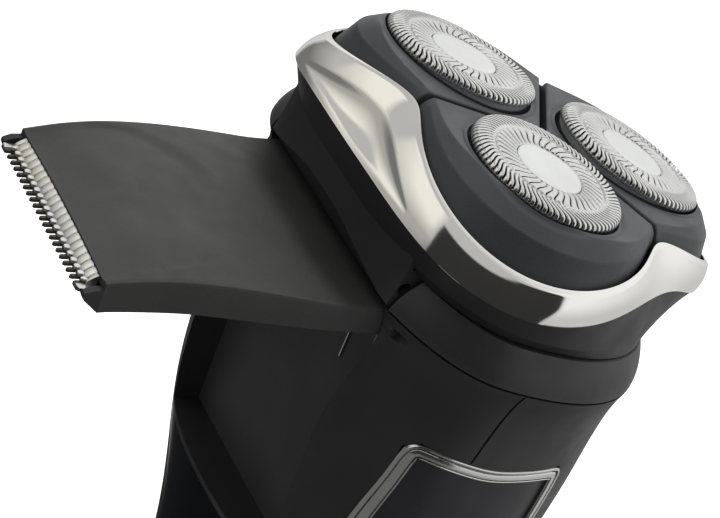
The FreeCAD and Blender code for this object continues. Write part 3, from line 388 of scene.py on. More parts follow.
def bezel():
    """Lobed ring: thin bright bevel, broad face with a pointed scoop at the rear, tucked underside."""
    angle = np.arange(BEZEL_STEPS) * 360.0 / BEZEL_STEPS
    top_r, top_z = rim_top_r(angle), rim_top_z(angle)
    low_r, low_z = rim_low_r(angle), rim_low_z(angle)
    rows = [polar(top_r + out, angle, top_z + lift) for out, lift in BEVEL]
    start_r, start_z = top_r + FACE_START[0], top_z + FACE_START[1]
    for step in np.linspace(0.0, 1.0, FACE_ROWS):
        radius = start_r + (low_r - start_r) * step
        height = start_z + (low_z - start_z) * step
        bulge = FACE_BULGE * math.sin(math.pi * step)
        off = np.abs((angle - REAR_GAP + 180) % 360 - 180) / SCOOP_HALF
        upper = SCOOP_UPPER[0] + SCOOP_UPPER[1] * off ** 3
        lower = SCOOP_LOWER[0] - SCOOP_LOWER[1] * off ** 2
        share = np.clip((step - upper) / np.maximum(lower - upper, SCOOP_THIN), 0, 1)
        inside = np.clip(1 - off ** 2, 0, 1)
        bulge = bulge - SCOOP_DEEP * inside * (share * (1 - share) * 4) ** SCOOP_SOFT
        span = np.hypot(low_r - start_r, low_z - start_z)
        radius = radius - bulge * (low_z - start_z) / span
        height = height + bulge * (low_r - start_r) / span
        rows.append(polar(radius, angle, height))
    rows += [polar(low_r + out, angle, low_z + lift) for out, lift in TUCK_IN]
    rows.append(polar(top_r + BEZEL_BACK[0], angle, low_z + BEZEL_BACK[1]))
    points = np.array(rows)
    obj = to_object("bezel", points.reshape(-1, 3), grid_faces(len(rows), BEZEL_STEPS), HEAD)
    dress(obj, "head", "chrome", ["chrome_bezel"], 40.0)


# ---------------------------------------------------------------- pods
POD_STEPS = 360
POD_ROWS = 56
BORE_R, WIDE_BORE_R = 11.25, 11.85
POD_EDGE, POD_TOP, POD_FOOT = 0.35, -1.0, -9.0
HALF_GAP, GAP_CORNER = 0.5, 0.6
LIP_DROP, LIP_FROM, LIP_WIDE = 0.28, 0.35, 0.45
POD_INSIDE, POD_TUCK, POD_SINK = 0.45, 0.8, 0.5
SHOULDER_SHARE, SHOULDER_IN, SHOULDER_WAVE = 0.42, 1.5, 0.8
FLAT_IN, FLAT_WAVE = 4.4, 3.0
STEEP_CREASE, FLAT_CREASE = 0.15, 0.12
BORE = ((WIDE_BORE_R, POD_FOOT), (WIDE_BORE_R, -3.6), (BORE_R, -3.5), (BORE_R, -1.55))
BORE_EDGE = 0.06


def pod_r(angle):
    return rim_top_r(angle) - POD_INSIDE


def pod_room(x, y, middle, inset=0.0):
    """Distance left to the pod's outline: the lobed rim outside, the two straight gaps at the sides."""
    angle = np.degrees(np.arctan2(y, x))
    room = pod_r(angle) - inset - np.hypot(x, y)
    for side in (-1, 1):
        turn = math.radians(middle + 60.0 * side)
        across = side * (x * math.sin(turn) - y * math.cos(turn))
        room = soft_min(room, across - HALF_GAP, GAP_CORNER)
    return room


def pod_height(x, y):
    """Top surface: flat, then a soft shoulder, then a steep skirt; creases lightly rounded."""
    angle = np.degrees(np.arctan2(y, x))
    wave = lobe_wave(angle)
    rest = pod_r(angle) - np.hypot(x, y)
    rim = rim_top_z(angle) - POD_SINK
    shoulder = POD_TOP + SHOULDER_SHARE * (rim_top_z(angle) - POD_TOP)
    shoulder_in, flat_in = SHOULDER_IN - SHOULDER_WAVE * wave, FLAT_IN - FLAT_WAVE * wave
    upper = shoulder + (rest - shoulder_in) * (POD_TOP - shoulder) / (flat_in - shoulder_in)
    steep = rim + rest * (shoulder - rim) / shoulder_in
    return soft_min(soft_min(upper, steep, STEEP_CREASE), np.full_like(upper, POD_TOP), FLAT_CREASE)


def outline_reach(cx, cy, turn, middle, inset=0.0):
    """Distance from the cap centre to the pod outline in each direction."""
    low, high = np.full_like(turn, 8.0), np.full_like(turn, 30.0)
    for _ in range(40):
        half = (low + high) / 2
        inside = pod_room(cx + half * np.cos(turn), cy + half * np.sin(turn), middle, inset) > 0
        low, high = np.where(inside, half, low), np.where(inside, high, half)
    return low


def pod(label, middle):
    """Shell round one cap, as rings from the cap bore out to the pod's outline and back underneath."""
    turn = np.arange(POD_STEPS) * TAU / POD_STEPS
    cx, cy = CAP_AT * math.cos(math.radians(middle)), CAP_AT * math.sin(math.radians(middle))
    reach = outline_reach(cx, cy, turn, middle)
    low_reach = outline_reach(cx, cy, turn, middle, POD_TUCK)

    def ring(distance, height):
        x, y = cx + distance * np.cos(turn), cy + distance * np.sin(turn)
        return np.stack([x, y, height(x, y) if callable(height) else np.full_like(x, height)], -1)

    def top(x, y):
        away = np.hypot(x - cx, y - cy)
        lip = LIP_DROP * np.exp(-((away - BORE_R - LIP_FROM) / LIP_WIDE) ** 2)
        room = np.clip(pod_room(x, y, middle), 0, POD_EDGE)
        drop = POD_EDGE - np.sqrt(np.maximum(POD_EDGE ** 2 - (POD_EDGE - room) ** 2, 0))
        return pod_height(x, y) - lip - drop

    first = BORE_R + BORE_EDGE
    rows = [ring(np.full_like(turn, radius), height) for radius, height in BORE]
    for step in np.linspace(0.0, 1.0, POD_ROWS):
        share = 1 - (1 - step) ** 1.5
        rows.append(ring(first + (reach - first) * share, top))
    rows.append(ring(low_reach, POD_FOOT))
    points = np.array(rows)
    obj = to_object("pod_shell_" + label, points.reshape(-1, 3), grid_faces(len(rows), POD_STEPS), HEAD)
    dress(obj, "pod_" + label, "pod_grey", ["pod_" + label], 60.0)


# ---------------------------------------------------------------- caps
RIBS = 78
RIB_PARTS = (0.0, 0.10, 0.33, 0.56, 0.66)
RIB_CROWN, INNER_CROWN = 0.07, 0.13
CAP_THICK = 0.42
INNER_TRACK, OUTER_TRACK = (5.0, 7.85), (8.42, 11.0)
INNER_SLANT, OUTER_SLANT = -8.5, 9.0
TRACK_ARCH, TRACK_ROWS = 0.07, 9
CAP_HUB = [(4.80, -0.30), (4.80, 0.10), (4.86, 0.22), (4.95, 0.29)]
CAP_GROOVE = [(7.95, 0.30), (8.04, 0.20), (8.14, 0.19), (8.24, 0.27), (8.34, 0.34)]
CAP_EDGE = [(8.42, 0.36), (8.8, 0.37), (9.3, 0.36), (9.8, 0.33), (10.2, 0.27), (10.5, 0.18), (10.72, 0.05),
            (10.87, -0.14), (10.96, -0.36), (10.98, -0.60), (10.96, -0.80)]
DISC_STEPS = 96
DISC_SECTION = [(4.3, -0.28), (4.72, -0.28), (4.74, 0.16), (4.67, 0.29), (4.45, 0.36), (4.0, 0.39),
                (3.0, 0.41), (1.5, 0.43), (0.4, 0.44)]
CAP_SKIRT = [(10.86, -0.88), (10.72, -0.98), (10.70, -3.35), (11.55, -3.45), (11.55, -3.9)]


def cap_rows():
    """(radius, height, ring) down the cap's outside; ring 1 and 2 are the inner and outer slotted tracks."""
    start, end = INNER_TRACK
    rows = [(r, z, 0) for r, z in CAP_HUB]
    rows += [(r, CAP_HUB[-1][1] + TRACK_ARCH * math.sin(math.pi * (r - start) / (end - start)), 1)
             for r in np.linspace(start, end, TRACK_ROWS)]
    rows += [(r, z, 0) for r, z in CAP_GROOVE]
    rows += [(r, z, 2) for r, z in CAP_EDGE]
    return rows + [(r, z, 0) for r, z in CAP_SKIRT]


def rib_rise(ring, rib, part):
    """Height of a rib's rounded back; the inner ribs are twice as broad as the outer ones."""
    if ring == 0:
        return 0.0
    if ring == 1:
        return INNER_CROWN * math.sin(math.pi * min((rib % 2 + RIB_PARTS[part]) / (1 + RIB_PARTS[-1]), 1.0))
    return RIB_CROWN * math.sin(math.pi * RIB_PARTS[part] / RIB_PARTS[-1])


def cap(label, middle):
    """Pierced cap: two rings of curved ribs with open slots between them."""
    lean = Matrix.Rotation(math.radians(CAP_LEAN), 4, Vector((-math.sin(math.radians(middle)),
                                                              math.cos(math.radians(middle)), 0.0)))
    place = HEAD @ Matrix.Translation(Vector((CAP_AT * math.cos(math.radians(middle)),
                                              CAP_AT * math.sin(math.radians(middle)), 0.0))) @ lean
    rows = cap_rows()
    cols = RIBS * len(RIB_PARTS)
    points = []
    for i, (radius, height, ring) in enumerate(rows):
        inner = ease((radius - INNER_TRACK[0]) / (INNER_TRACK[1] - INNER_TRACK[0]))
        outer = ease((radius - OUTER_TRACK[0]) / (OUTER_TRACK[1] - OUTER_TRACK[0]))
        shift = INNER_SLANT * inner + OUTER_SLANT * outer
        before, after = rows[max(i - 1, 0)], rows[min(i + 1, len(rows) - 1)]
        along = math.hypot(after[0] - before[0], after[1] - before[1])
        out, lift = (before[1] - after[1]) / along, (after[0] - before[0]) / along
        for k in range(cols):
            rib, part = divmod(k, len(RIB_PARTS))
            turn = math.radians(360.0 * (rib + RIB_PARTS[part]) / RIBS + shift)
            raised = rib_rise(ring, rib, part)
            away = radius + raised * out
            points.append((away * math.cos(turn), away * math.sin(turn), height + raised * lift))

    def solid_cell(i, j):
        rib, part = divmod(j, len(RIB_PARTS))
        ring = rows[i][2] if rows[i][2] == rows[i + 1][2] else 0
        return not (part == len(RIB_PARTS) - 1 and (ring == 2 or (ring == 1 and rib % 2 == 1)))

    obj = to_object("cap_shell_" + label, points, grid_faces(len(rows), cols, False, True, solid_cell), place)
    thick = obj.modifiers.new("thickness", "SOLIDIFY")
    thick.thickness = CAP_THICK * MM
    thick.offset = -1.0
    dress(obj, "cap_" + label, "cap_steel", ["cap_" + label], 38.0)

    points = [(r * math.cos(TAU * k / DISC_STEPS), r * math.sin(TAU * k / DISC_STEPS), z)
              for r, z in DISC_SECTION for k in range(DISC_STEPS)]
    disc = to_object("cap_centre_" + label, points, tube_faces(len(DISC_SECTION), DISC_STEPS), place)
    dress(disc, "cap_" + label, "disc_steel", ["cap_disc_" + label])


# ---------------------------------------------------------------- trimmer
def curve_through(stations, at):
    """Smooth value through (position, value) pairs."""
    xs, ys = np.array(stations, float).T
    slopes = np.gradient(ys, xs)
    at = np.clip(np.asarray(at, float), xs[0], xs[-1])
    k = np.clip(np.searchsorted(xs, at) - 1, 0, len(xs) - 2)
    width = xs[k + 1] - xs[k]
    t = (at - xs[k]) / width
    return (ys[k] * (1 + 2 * t) * (1 - t) ** 2 + slopes[k] * width * t * (1 - t) ** 2
            + ys[k + 1] * t * t * (3 - 2 * t) + slopes[k + 1] * width * t * t * (t - 1))


LEAF_TOP = [(0.0, 1.7), (5.0, 1.9), (10.0, 2.5), (16.0, 3.2), (22.0, 3.7), (27.0, 3.85), (33.0, 3.5),
            (38.3, 2.65)]
LEAF_UNDER = [(0.0, -2.0), (8.0, -1.9), (20.0, -1.2), (27.0, -0.9), (33.0, -1.2), (38.3, -1.7)]
LEAF_HALF = [(0.0, 18.9), (14.0, 18.3), (28.0, 17.3), (38.3, 16.4)]
DISH_LINE = [(-16.4, 40.0), (-15.3, 36.5), (-14.8, 32.3), (-14.0, 27.3), (-10.9, 23.1), (-4.4, 19.2),
             (1.5, 17.2), (6.6, 17.3), (10.3, 19.1), (13.9, 22.3), (16.1, 26.6), (16.9, 33.0), (17.2, 40.0)]
DISH_DEEP, DISH_SOFT, DISH_FADE = 0.40, 3.6, 1.6
LEAF_CROWN, CROWN_SHAPE = 0.55, 2.2
LEAF_COLS, LEAF_ROWS, LEAF_TURN = 61, 76, 0.55
KNUCKLE_ROWS, KNUCKLE_R, KNUCKLE_FLAT = [-1.96, -1.75, -1.3, -0.7, 0.0], 2.0, 0.85
CROWN_RUN = 6.0
COMB_SLOT = ((-15.3, 15.3), (32.5, 50.0), (0.37, 1.55))
EAR_R, EAR_REACH = 1.62, (-17.3, -13.7)
PIN_R, PIN_REACH = 0.87, (-30.0, 30.0)


def leaf():
    """Hair trimmer leaf: bent plate with a shallow dish towards its cutting edge."""
    stations = KNUCKLE_ROWS + list(np.linspace(0.8, LEAF_TOP[-1][0], LEAF_ROWS))
    rows = []
    for y in stations:
        half = float(curve_through(LEAF_HALF, y))
        top, low = float(curve_through(LEAF_TOP, y)), float(curve_through(LEAF_UNDER, y))
        if y < 0:
            arc = math.sqrt(max(KNUCKLE_R ** 2 - y * y, 0.0))
            top, low = KNUCKLE_FLAT * arc, -arc
        across = np.linspace(-1, 1, LEAF_COLS)
        across = np.sign(across) * (1 - (1 - np.abs(across)) ** 1.35)
        x = across * half
        dish_from = curve_through(DISH_LINE, x)
        depth = DISH_DEEP * ease((y - dish_from) / DISH_SOFT + 0.5) * ease((half - np.abs(x)) / DISH_FADE)
        turn_r = min(LEAF_TURN, 0.4 * (top - low))
        edge = np.clip((1 - np.abs(across)) * half, 0, turn_r)
        rounded = turn_r - np.sqrt(np.maximum(turn_r ** 2 - (turn_r - edge) ** 2, 0))
        crown = LEAF_CROWN * (1 - np.abs(across) ** CROWN_SHAPE) * min(1.0, max(y, 0.0) / CROWN_RUN)
        upper = np.stack([x, np.full_like(x, y), top + crown - depth - rounded], -1)
        under = np.stack([x[::-1], np.full_like(x, y), np.full_like(x, low)], -1)
        under[[0, -1], 2] += 0.3 * turn_r
        rows.append(np.concatenate([upper, under]))
    points = np.array(rows).reshape(-1, 3)
    obj = to_object("trimmer_shell", points, tube_faces(len(rows), 2 * LEAF_COLS), TRIM_OPEN)
    cut_out(obj, [block(TRIM_OPEN, *COMB_SLOT), cross_rod(TRIM_OPEN, EAR_R, EAR_REACH),
                  cross_rod(TRIM_OPEN, PIN_R, PIN_REACH)])
    dress(obj, "trimmer", "trimmer_grey", ["trimmer_leaf"], 35.0)


def extruded(name, outline, along, low, high, place, round_over):
    """Outline in one plane given thickness along an axis, its edges rounded."""
    count = len(outline)
    ends = []
    for level in (low, high):
        ends += [tuple(np.insert(np.array(spot, float), along, level)) for spot in outline]
    faces = [tuple(range(count)), tuple(range(2 * count - 1, count - 1, -1))]
    faces += [(k, (k + 1) % count, count + (k + 1) % count, count + k) for k in range(count)]
    obj = to_object(name, ends, faces, place)
    bevel = obj.modifiers.new("edges", "BEVEL")
    bevel.width = round_over * MM
    bevel.segments = 2
    bevel.limit_method = "ANGLE"
    bevel.angle_limit = math.radians(50)
    return obj


TOOTH_PITCH = 1.3
LIP = [(36.6, -1.5), (38.35, -1.7), (39.1, -0.6), (39.45, 0.1), (39.45, 0.36), (36.6, 0.36)]
END_BLOCK = [(36.6, -1.5), (38.35, -1.7), (40.5, 0.0), (40.8, 0.5), (40.7, 1.0), (39.6, 1.5), (36.6, 1.7)]
LIP_HALF, LIP_ROUND = 15.35, 0.08
END_INNER, END_OUTER, END_ROUND = 15.3, 16.4, 0.06
RIDGE_LINE = [(38.36, 0.95), (38.36, 2.06), (38.50, 2.08), (38.85, 1.92), (39.25, 1.68), (39.6, 1.44),
              (39.76, 1.24), (39.78, 0.95)]
RIDGE_SHARE = (0.0, 1.0, 1.0, 0.8, 0.5, 0.2, 0.0, 0.0)
RIDGE_HALF, RIDGE_STEPS = 14.3, 221
RIDGE_NOTCH, RIDGE_BACK, RIDGE_SHARP = 0.20, 0.16, 0.4


def blade_ridges():
    """Row of tongue-shaped ridges on the moving blade, next to the leaf's edge."""
    rows = []
    for x in np.linspace(-RIDGE_HALF, RIDGE_HALF, RIDGE_STEPS):
        dip = 1 - abs(math.cos(math.pi * x / TOOTH_PITCH)) ** RIDGE_SHARP
        arch = LEAF_CROWN * (1 - abs(x / LEAF_HALF[-1][1]) ** CROWN_SHAPE)
        row = []
        for k, (y, z) in enumerate(RIDGE_LINE):
            notch = dip if 0 < k < len(RIDGE_LINE) - 1 else 0.0
            back = RIDGE_BACK * notch if k >= 5 else 0.0
            row.append((x, y - back, z + arch * RIDGE_SHARE[k] - RIDGE_NOTCH * notch))
        rows.append(row)
    points = np.array(rows).reshape(-1, 3)
    obj = to_object("trimmer_ridges", points, tube_faces(RIDGE_STEPS, len(RIDGE_LINE)), TRIM_OPEN)
    dress(obj, "trimmer_blade", "comb_steel", smooth=40.0)


def trimmer_front():
    """Lip under the comb and the two dark blocks at its ends."""
    lip = extruded("trimmer_lip", LIP, 0, -LIP_HALF, LIP_HALF, TRIM_OPEN, LIP_ROUND)
    dress(lip, "trimmer", "black_matte")
    for name, side in SIDES:
        low, high = sorted((side * END_INNER, side * END_OUTER))
        end = extruded("trimmer_end_" + name, END_BLOCK, 0, low, high, TRIM_OPEN, END_ROUND)
        dress(end, "trimmer", "black_matte")


WIRE_X, WIRE_Z, WIRE_R, WIRE_SIDES = -9.4, -2.2, 0.16, 12
WIRE_FROM, WIRE_TO, WIRE_ROUND = 8.3, 12.7, 0.03


def recess_wire():
    """Short bright leg of the trimmer's spring, lying on the floor of the recess."""
    turns = [TAU * k / WIRE_SIDES for k in range(WIRE_SIDES)]
    outline = [(WIRE_X + WIRE_R * math.cos(turn), WIRE_Z + WIRE_R * math.sin(turn)) for turn in turns]
    wire = extruded("spring_leg", outline, 1, WIRE_FROM, WIRE_TO, TRIM_STOWED, WIRE_ROUND)
    dress(wire, "handle", "cap_steel", smooth=60.0)


END_TOOTH = [(14.1, 38.5), (15.1, 38.5), (15.1, 40.9), (14.1, 41.1)]
END_TOOTH_LOW, END_TOOTH_HIGH, END_TOOTH_ROUND = 0.70, 0.91, 0.02


def end_tooth(name, side):
    """Bright broad tooth at one end of the comb, just under the moving blade."""
    outline = [(side * x, y) for x, y in END_TOOTH]
    tooth = extruded("end_tooth_" + name, outline, 2, END_TOOTH_LOW, END_TOOTH_HIGH, TRIM_OPEN,
                     END_TOOTH_ROUND)
    dress(tooth, "trimmer", "cap_steel")


TEETH_GAPS = 21
TIP_SIDE, TIP_BACK, END_CORNER = 0.16, 0.26, 0.35


def toothed_plate(name, half, root, tip, gap, depth, low, high, round_over):
    """Flat steel plate whose front edge is cut into rounded teeth."""
    first = -(TEETH_GAPS - 1) / 2 * TOOTH_PITCH
    soft = min(0.12, gap / 3)
    floor_y = tip - depth
    outline = [(half, root), (half, tip - END_CORNER), (half - END_CORNER, tip)]
    for k in reversed(range(TEETH_GAPS)):
        middle = first + k * TOOTH_PITCH
        left, right = middle - gap / 2, middle + gap / 2
        outline += [(right + TIP_SIDE, tip), (right, tip - TIP_BACK), (right, floor_y + soft),
                    (right - soft, floor_y), (left + soft, floor_y), (left, floor_y + soft),
                    (left, tip - TIP_BACK), (left - TIP_SIDE, tip)]
    outline += [(-half + END_CORNER, tip), (-half, tip - END_CORNER), (-half, root)]
    return extruded(name, outline, 2, low, high, TRIM_OPEN, round_over)


# ---------------------------------------------------------------- side frames
PANEL = [(13.8, -33.6), (15.3, -35.2), (14.4, -46.0), (11.6, -64.0), (1.0, -98.0), (-5.0, -113.0),
         (-9.0, -118.0), (-14.0, -119.5), (-18.5, -118.0), (-21.0, -112.0), (-20.5, -98.0),
         (-16.5, -64.0), (-12.6, -42.0), (-11.3, -34.4), (-10.2, -32.8), (-4.0, -33.2), (2.5, -33.9),
         (9.3, -33.6)]
BAND = [(0.03, -0.9), (0.03, 0.06), (0.08, 0.20), (0.18, 0.26), (0.34, 0.24), (0.40, 0.10), (0.43, -0.30),
        (0.60, -0.30), (0.63, 0.06), (0.70, 0.17), (0.80, 0.22), (1.15, 0.24), (1.42, 0.20), (1.50, 0.10),
        (1.53, -0.30), (1.68, -0.30), (1.71, 0.06), (1.78, 0.12), (1.88, 0.08), (1.95, -0.05), (1.97, -0.9)]
BAND_STEP, BAND_EASE, PROBE_NEAR, PROBE_FAR = 0.35, 5, 0.2, 1.8
SKIN_NODES = ("side_frame_near", "side_frame_far", "side_panel_near", "side_panel_far", "front_housing",
              "front_panel", "rear_housing", "rear_cover")
OUTSIDE = 90.0
CORNER_CUT, CORNER_PASSES = 0.18, 3


def surface_of(names):
    """Search tree of some CAD nodes' faces, in millimetres in the head frame."""
    back = HEAD.inverted()
    points, faces = [], []
    for name in names:
        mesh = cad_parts[name].data
        start = len(points)
        points += [back @ (v.co / MM) for v in mesh.vertices]
        faces += [tuple(start + k for k in p.vertices) for p in mesh.polygons]
    return BVHTree.FromPolygons(points, faces)


def even_loop(points, spacing):
    """Closed outline resampled at even steps, with its corners eased."""
    loop = np.array(points, float)
    for _ in range(CORNER_PASSES):
        ahead = np.roll(loop, -1, 0)
        after = (1 - CORNER_CUT) * loop + CORNER_CUT * ahead
        before = CORNER_CUT * loop + (1 - CORNER_CUT) * ahead
        loop = np.stack([after, before], 1).reshape(-1, 2)
    ahead = np.roll(loop, -1, 0)
    length = np.concatenate([[0], np.cumsum(np.hypot(*(ahead - loop).T))])
    closed = np.concatenate([loop, loop[:1]])
    count = int(length[-1] / spacing)
    at = np.linspace(0, length[-1], count, endpoint=False)
    return np.stack([np.interp(at, length, closed[:, k]) for k in (0, 1)], -1)


def side_skin(skin, side, y, z):
    """X of the handle's outer surface at one side."""
    return skin.ray_cast(Vector((side * OUTSIDE, y, z)), Vector((-side, 0.0, 0.0)))[0].x


def front_skin(skin, outward, x, z):
    """Y of a surface seen from the front (outward -1) or the rear (1)."""
    return skin.ray_cast(Vector((x, outward * OUTSIDE, z)), Vector((0.0, -outward, 0.0)))[0].y


def side_band(name, side, skin):
    """Silver band round one side panel, lying on the handle's surface, with two fine grooves."""
    loop = even_loop(PANEL, BAND_STEP)
    along = np.roll(loop, -2, 0) - np.roll(loop, 2, 0)
    along /= np.hypot(*along.T)[:, None]
    inward = np.stack([along[:, 1], -along[:, 0]], -1)
    rows = []
    for offset, raised in BAND:
        spot = loop + inward * offset
        probe = loop + inward * min(max(offset, PROBE_NEAR), PROBE_FAR)
        row = []
        for (y, z), (py, pz) in zip(spot, probe):
            row.append((side_skin(skin, side, py, pz) + side * raised, y, z))
        row = np.array(row)
        reach = range(-BAND_EASE, BAND_EASE + 1)
        row[:, 0] = sum(np.roll(row[:, 0], step) for step in reach) / len(reach)
        rows.append(row)
    points = np.array(rows)
    return to_object("side_band_" + name, points.reshape(-1, 3), grid_faces(len(rows), len(loop)), HEAD)


PARTING = [(6.2, -21.95), (6.3, -28.0), (6.5, -33.6)]
PARTING_ROWS, PARTING_HALF, PARTING_DEEP, PARTING_LIFT = 30, 0.15, 0.3, 0.02


def parting_line(name, side, skin):
    """Fine dark seam where the two halves of the shell meet above the side panel."""
    rows = []
    for z in np.linspace(PARTING[0][1], PARTING[-1][1], PARTING_ROWS):
        y = float(np.interp(-z, [-spot[1] for spot in PARTING], [spot[0] for spot in PARTING]))
        x = side_skin(skin, side, y, z)
        outer, inner = x + side * PARTING_LIFT, x - side * PARTING_DEEP
        rows.append([(outer, y - PARTING_HALF, z), (outer, y + PARTING_HALF, z), (inner, y + PARTING_HALF, z),
                     (inner, y - PARTING_HALF, z)])
    points = np.array(rows).reshape(-1, 3)
    return to_object("parting_line_" + name, points, tube_faces(len(rows), 4), HEAD)


# ---------------------------------------------------------------- controls
BUTTON_Z = -62.0
RING_STEPS = 120
BUTTON_SECTION = [(7.5, -26.1), (7.5, -29.45), (7.38, -29.82), (7.08, -30.06), (6.7, -30.1), (6.4, -30.02),
                  (6.28, -29.86), (6.1, -29.84), (5.98, -29.98), (5.6, -30.02), (4.2, -29.9), (2.4, -29.8),
                  (0.6, -29.76)]
RING_PROBE_R = 8.1
RING_SECTION = [(7.74, 0.5), (7.74, -0.20), (7.84, -0.36), (8.02, -0.42), (8.24, -0.40), (8.42, -0.28),
                (8.52, -0.06), (8.54, 0.5)]


def power_button():
    """Dished round button with a fine groove near its rim."""
    points = [(r * math.cos(TAU * k / RING_STEPS), y, BUTTON_Z + r * math.sin(TAU * k / RING_STEPS))
              for r, y in BUTTON_SECTION for k in range(RING_STEPS)]
    obj = to_object("button_dished", points, tube_faces(len(BUTTON_SECTION), RING_STEPS), HEAD)
    dress(obj, "power_button", "button", ["power_button"], 50.0)


def button_ring(skin):
    """Chrome ring that follows the front surface round the button."""
    points = []
    for r, lift in RING_SECTION:
        for k in range(RING_STEPS):
            cos, sin = math.cos(TAU * k / RING_STEPS), math.sin(TAU * k / RING_STEPS)
            y = front_skin(skin, -1, RING_PROBE_R * cos, BUTTON_Z + RING_PROBE_R * sin)
            points.append((r * cos, y + lift, BUTTON_Z + r * sin))
    obj = to_object("button_ring", points, grid_faces(len(RING_SECTION), RING_STEPS), HEAD)
    dress(obj, "handle", "chrome", smooth=50.0)


BAR_STATIONS, BAR_SIDES = np.linspace(-1, 1, 13), 12


def grip_bars(name, body, node, outward, count, pitch, radius, margin):
    """Rounded ridges that follow the outer face of a control."""
    face = surface_of([node])
    back = HEAD.inverted()
    low, high = (back @ (Vector(corner) / MM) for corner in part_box(node))
    middle, half = (low + high) / 2, (high.x - low.x) / 2 - margin
    points, faces = [], []
    for bar in range(count):
        z = middle.z + (bar - (count - 1) / 2) * pitch
        start = len(points)
        for share in BAR_STATIONS:
            x = middle.x + share * half
            y = front_skin(face, outward, x, z)
            thick = radius * math.sqrt(max(1 - abs(share) ** 6, 0.04))
            turns = [TAU * k / BAR_SIDES for k in range(BAR_SIDES)]
            points += [(x, y + thick * math.cos(turn), z + thick * math.sin(turn)) for turn in turns]
        bar_faces = tube_faces(len(BAR_STATIONS), BAR_SIDES)
        faces += [tuple(start + k for k in corners) for corners in bar_faces]
    obj = to_object(name, points, faces, HEAD)
    dress(obj, body, "button", smooth=60.0)


# ---------------------------------------------------------------- build
bezel()
for label, middle in LOBES.items():
    pod(label, middle)
    cap(label, middle)
leaf()
trimmer_front()
recess_wire()
# The comb gets the darkened steel, which is painted shade for the shadow under the moving blade.
comb = toothed_plate("trimmer_guard", half=15.1, root=32.6, tip=41.2, gap=0.74, depth=1.9, low=0.40,
                     high=0.88, round_over=0.07)
dress(comb, "trimmer", "comb_painted_shade", ["trimmer_comb"])
for name, side in SIDES:
    end_tooth(name, side)
blade = toothed_plate("trimmer_cutter", half=13.9, root=33.2, tip=40.3, gap=0.42, depth=1.2, low=0.93,
                      high=1.35, round_over=0.09)
dress(blade, "trimmer_blade", "comb_steel", ["trimmer_blade"])
blade_ridges()
skin = surface_of(SKIN_NODES)
power_button()
button_ring(skin)
grip_bars("release_ridges", "release_button", "release_button", outward=-1, count=2, pitch=1.7,
          radius=0.35, margin=1.6)
grip_bars("switch_ridges", "trimmer_switch", "trimmer_switch", outward=1, count=4, pitch=1.5,
          radius=0.35, margin=1.3)
for name, side in SIDES:
    band = side_band(name, side, skin)
    dress(band, "handle", "frame_silver", ["side_frame_" + name], 30.0)
    dress(parting_line(name, side, skin), "handle", "seam_black")

# ---------------------------------------------------------------- floor, light and camera
FLOOR_R, FLOOR_STEPS, FLOOR_GLOW = 4000.0, 96, 0.34
floor_points = [(FLOOR_R * math.cos(TAU * k / FLOOR_STEPS), FLOOR_R * math.sin(TAU * k / FLOOR_STEPS), 0.0)
                for k in range(FLOOR_STEPS)]
floor = to_object("floor", floor_points, [tuple(range(FLOOR_STEPS))], Matrix.Identity(4))
paper = finish("floor_paper", (0.86, 0.86, 0.85, 1), 0.7, grain=(300.0, 0.05), mottle=0.01)
paper_shader = paper.node_tree.nodes["Principled BSDF"]
paper_shader.inputs["Emission Color"].default_value = (1.0, 1.0, 1.0, 1.0)
paper_shader.inputs["Emission Strength"].default_value = FLOOR_GLOW
floor.data.materials.append(paper)
floor.visible_glossy = False
floor.visible_diffuse = False

world = bpy.data.worlds.new("studio")
world.use_nodes = True
scene.world = world
tree = world.node_tree
backdrop = tree.nodes["Background"]
look = tree.nodes.new("ShaderNodeTexCoord")


def sky_mix(share, first, second):
    node = tree.nodes.new("ShaderNodeMix")
    node.data_type = "RGBA"
    tree.links.new(share, node.inputs["Factor"])
    for socket, value in ((node.inputs[6], first), (node.inputs[7], second)):
        if isinstance(value, tuple):
            socket.default_value = value
        else:
            tree.links.new(value, socket)
    return node.outputs[2]


def sky_cone(direction, spread, softness):
    """1 inside a cone of directions, 0 outside it."""
    dot = tree.nodes.new("ShaderNodeVectorMath")
    dot.operation = "DOT_PRODUCT"
    dot.inputs[1].default_value = Vector(direction).normalized()
    tree.links.new(look.outputs["Generated"], dot.inputs[0])
    edge = tree.nodes.new("ShaderNodeMapRange")
    edge.inputs["From Min"].default_value = math.cos(math.radians(spread + softness))
    edge.inputs["From Max"].default_value = math.cos(math.radians(max(spread - softness, 0.0)))
    tree.links.new(dot.outputs["Value"], edge.inputs["Value"])
    return edge.outputs["Result"]


def grey(level):
    return (level, level, level * 0.985, 1.0)


def sky_limit(direction, low, high):
    """Rises from 0 to 1 as a direction's share along an axis goes from low to high."""
    dot = tree.nodes.new("ShaderNodeVectorMath")
    dot.operation = "DOT_PRODUCT"
    dot.inputs[1].default_value = direction
    tree.links.new(look.outputs["Generated"], dot.inputs[0])
    edge = tree.nodes.new("ShaderNodeMapRange")
    edge.inputs["From Min"].default_value = low
    edge.inputs["From Max"].default_value = high
    tree.links.new(dot.outputs["Value"], edge.inputs["Value"])
    return edge.outputs["Result"]


def heading(degrees):
    return (math.cos(math.radians(degrees)), math.sin(math.radians(degrees)), 0.0)


def sky_panel(start, end, low, high, soft):
    """1 on an upright panel between two headings and two elevations in degrees, 0 elsewhere."""
    floor_z, roof_z = math.sin(math.radians(low)), math.sin(math.radians(high))
    edges = [sky_limit(heading(start + 90), -soft, soft), sky_limit(heading(end - 90), -soft, soft),
             sky_limit(UP, floor_z - soft, floor_z + soft), sky_limit(DOWN, -roof_z - soft, soft - roof_z)]
    share = edges[0]
    for edge in edges[1:]:
        product = tree.nodes.new("ShaderNodeMath")
        product.operation = "MULTIPLY"
        tree.links.new(share, product.inputs[0])
        tree.links.new(edge, product.inputs[1])
        share = product.outputs["Value"]
    return share


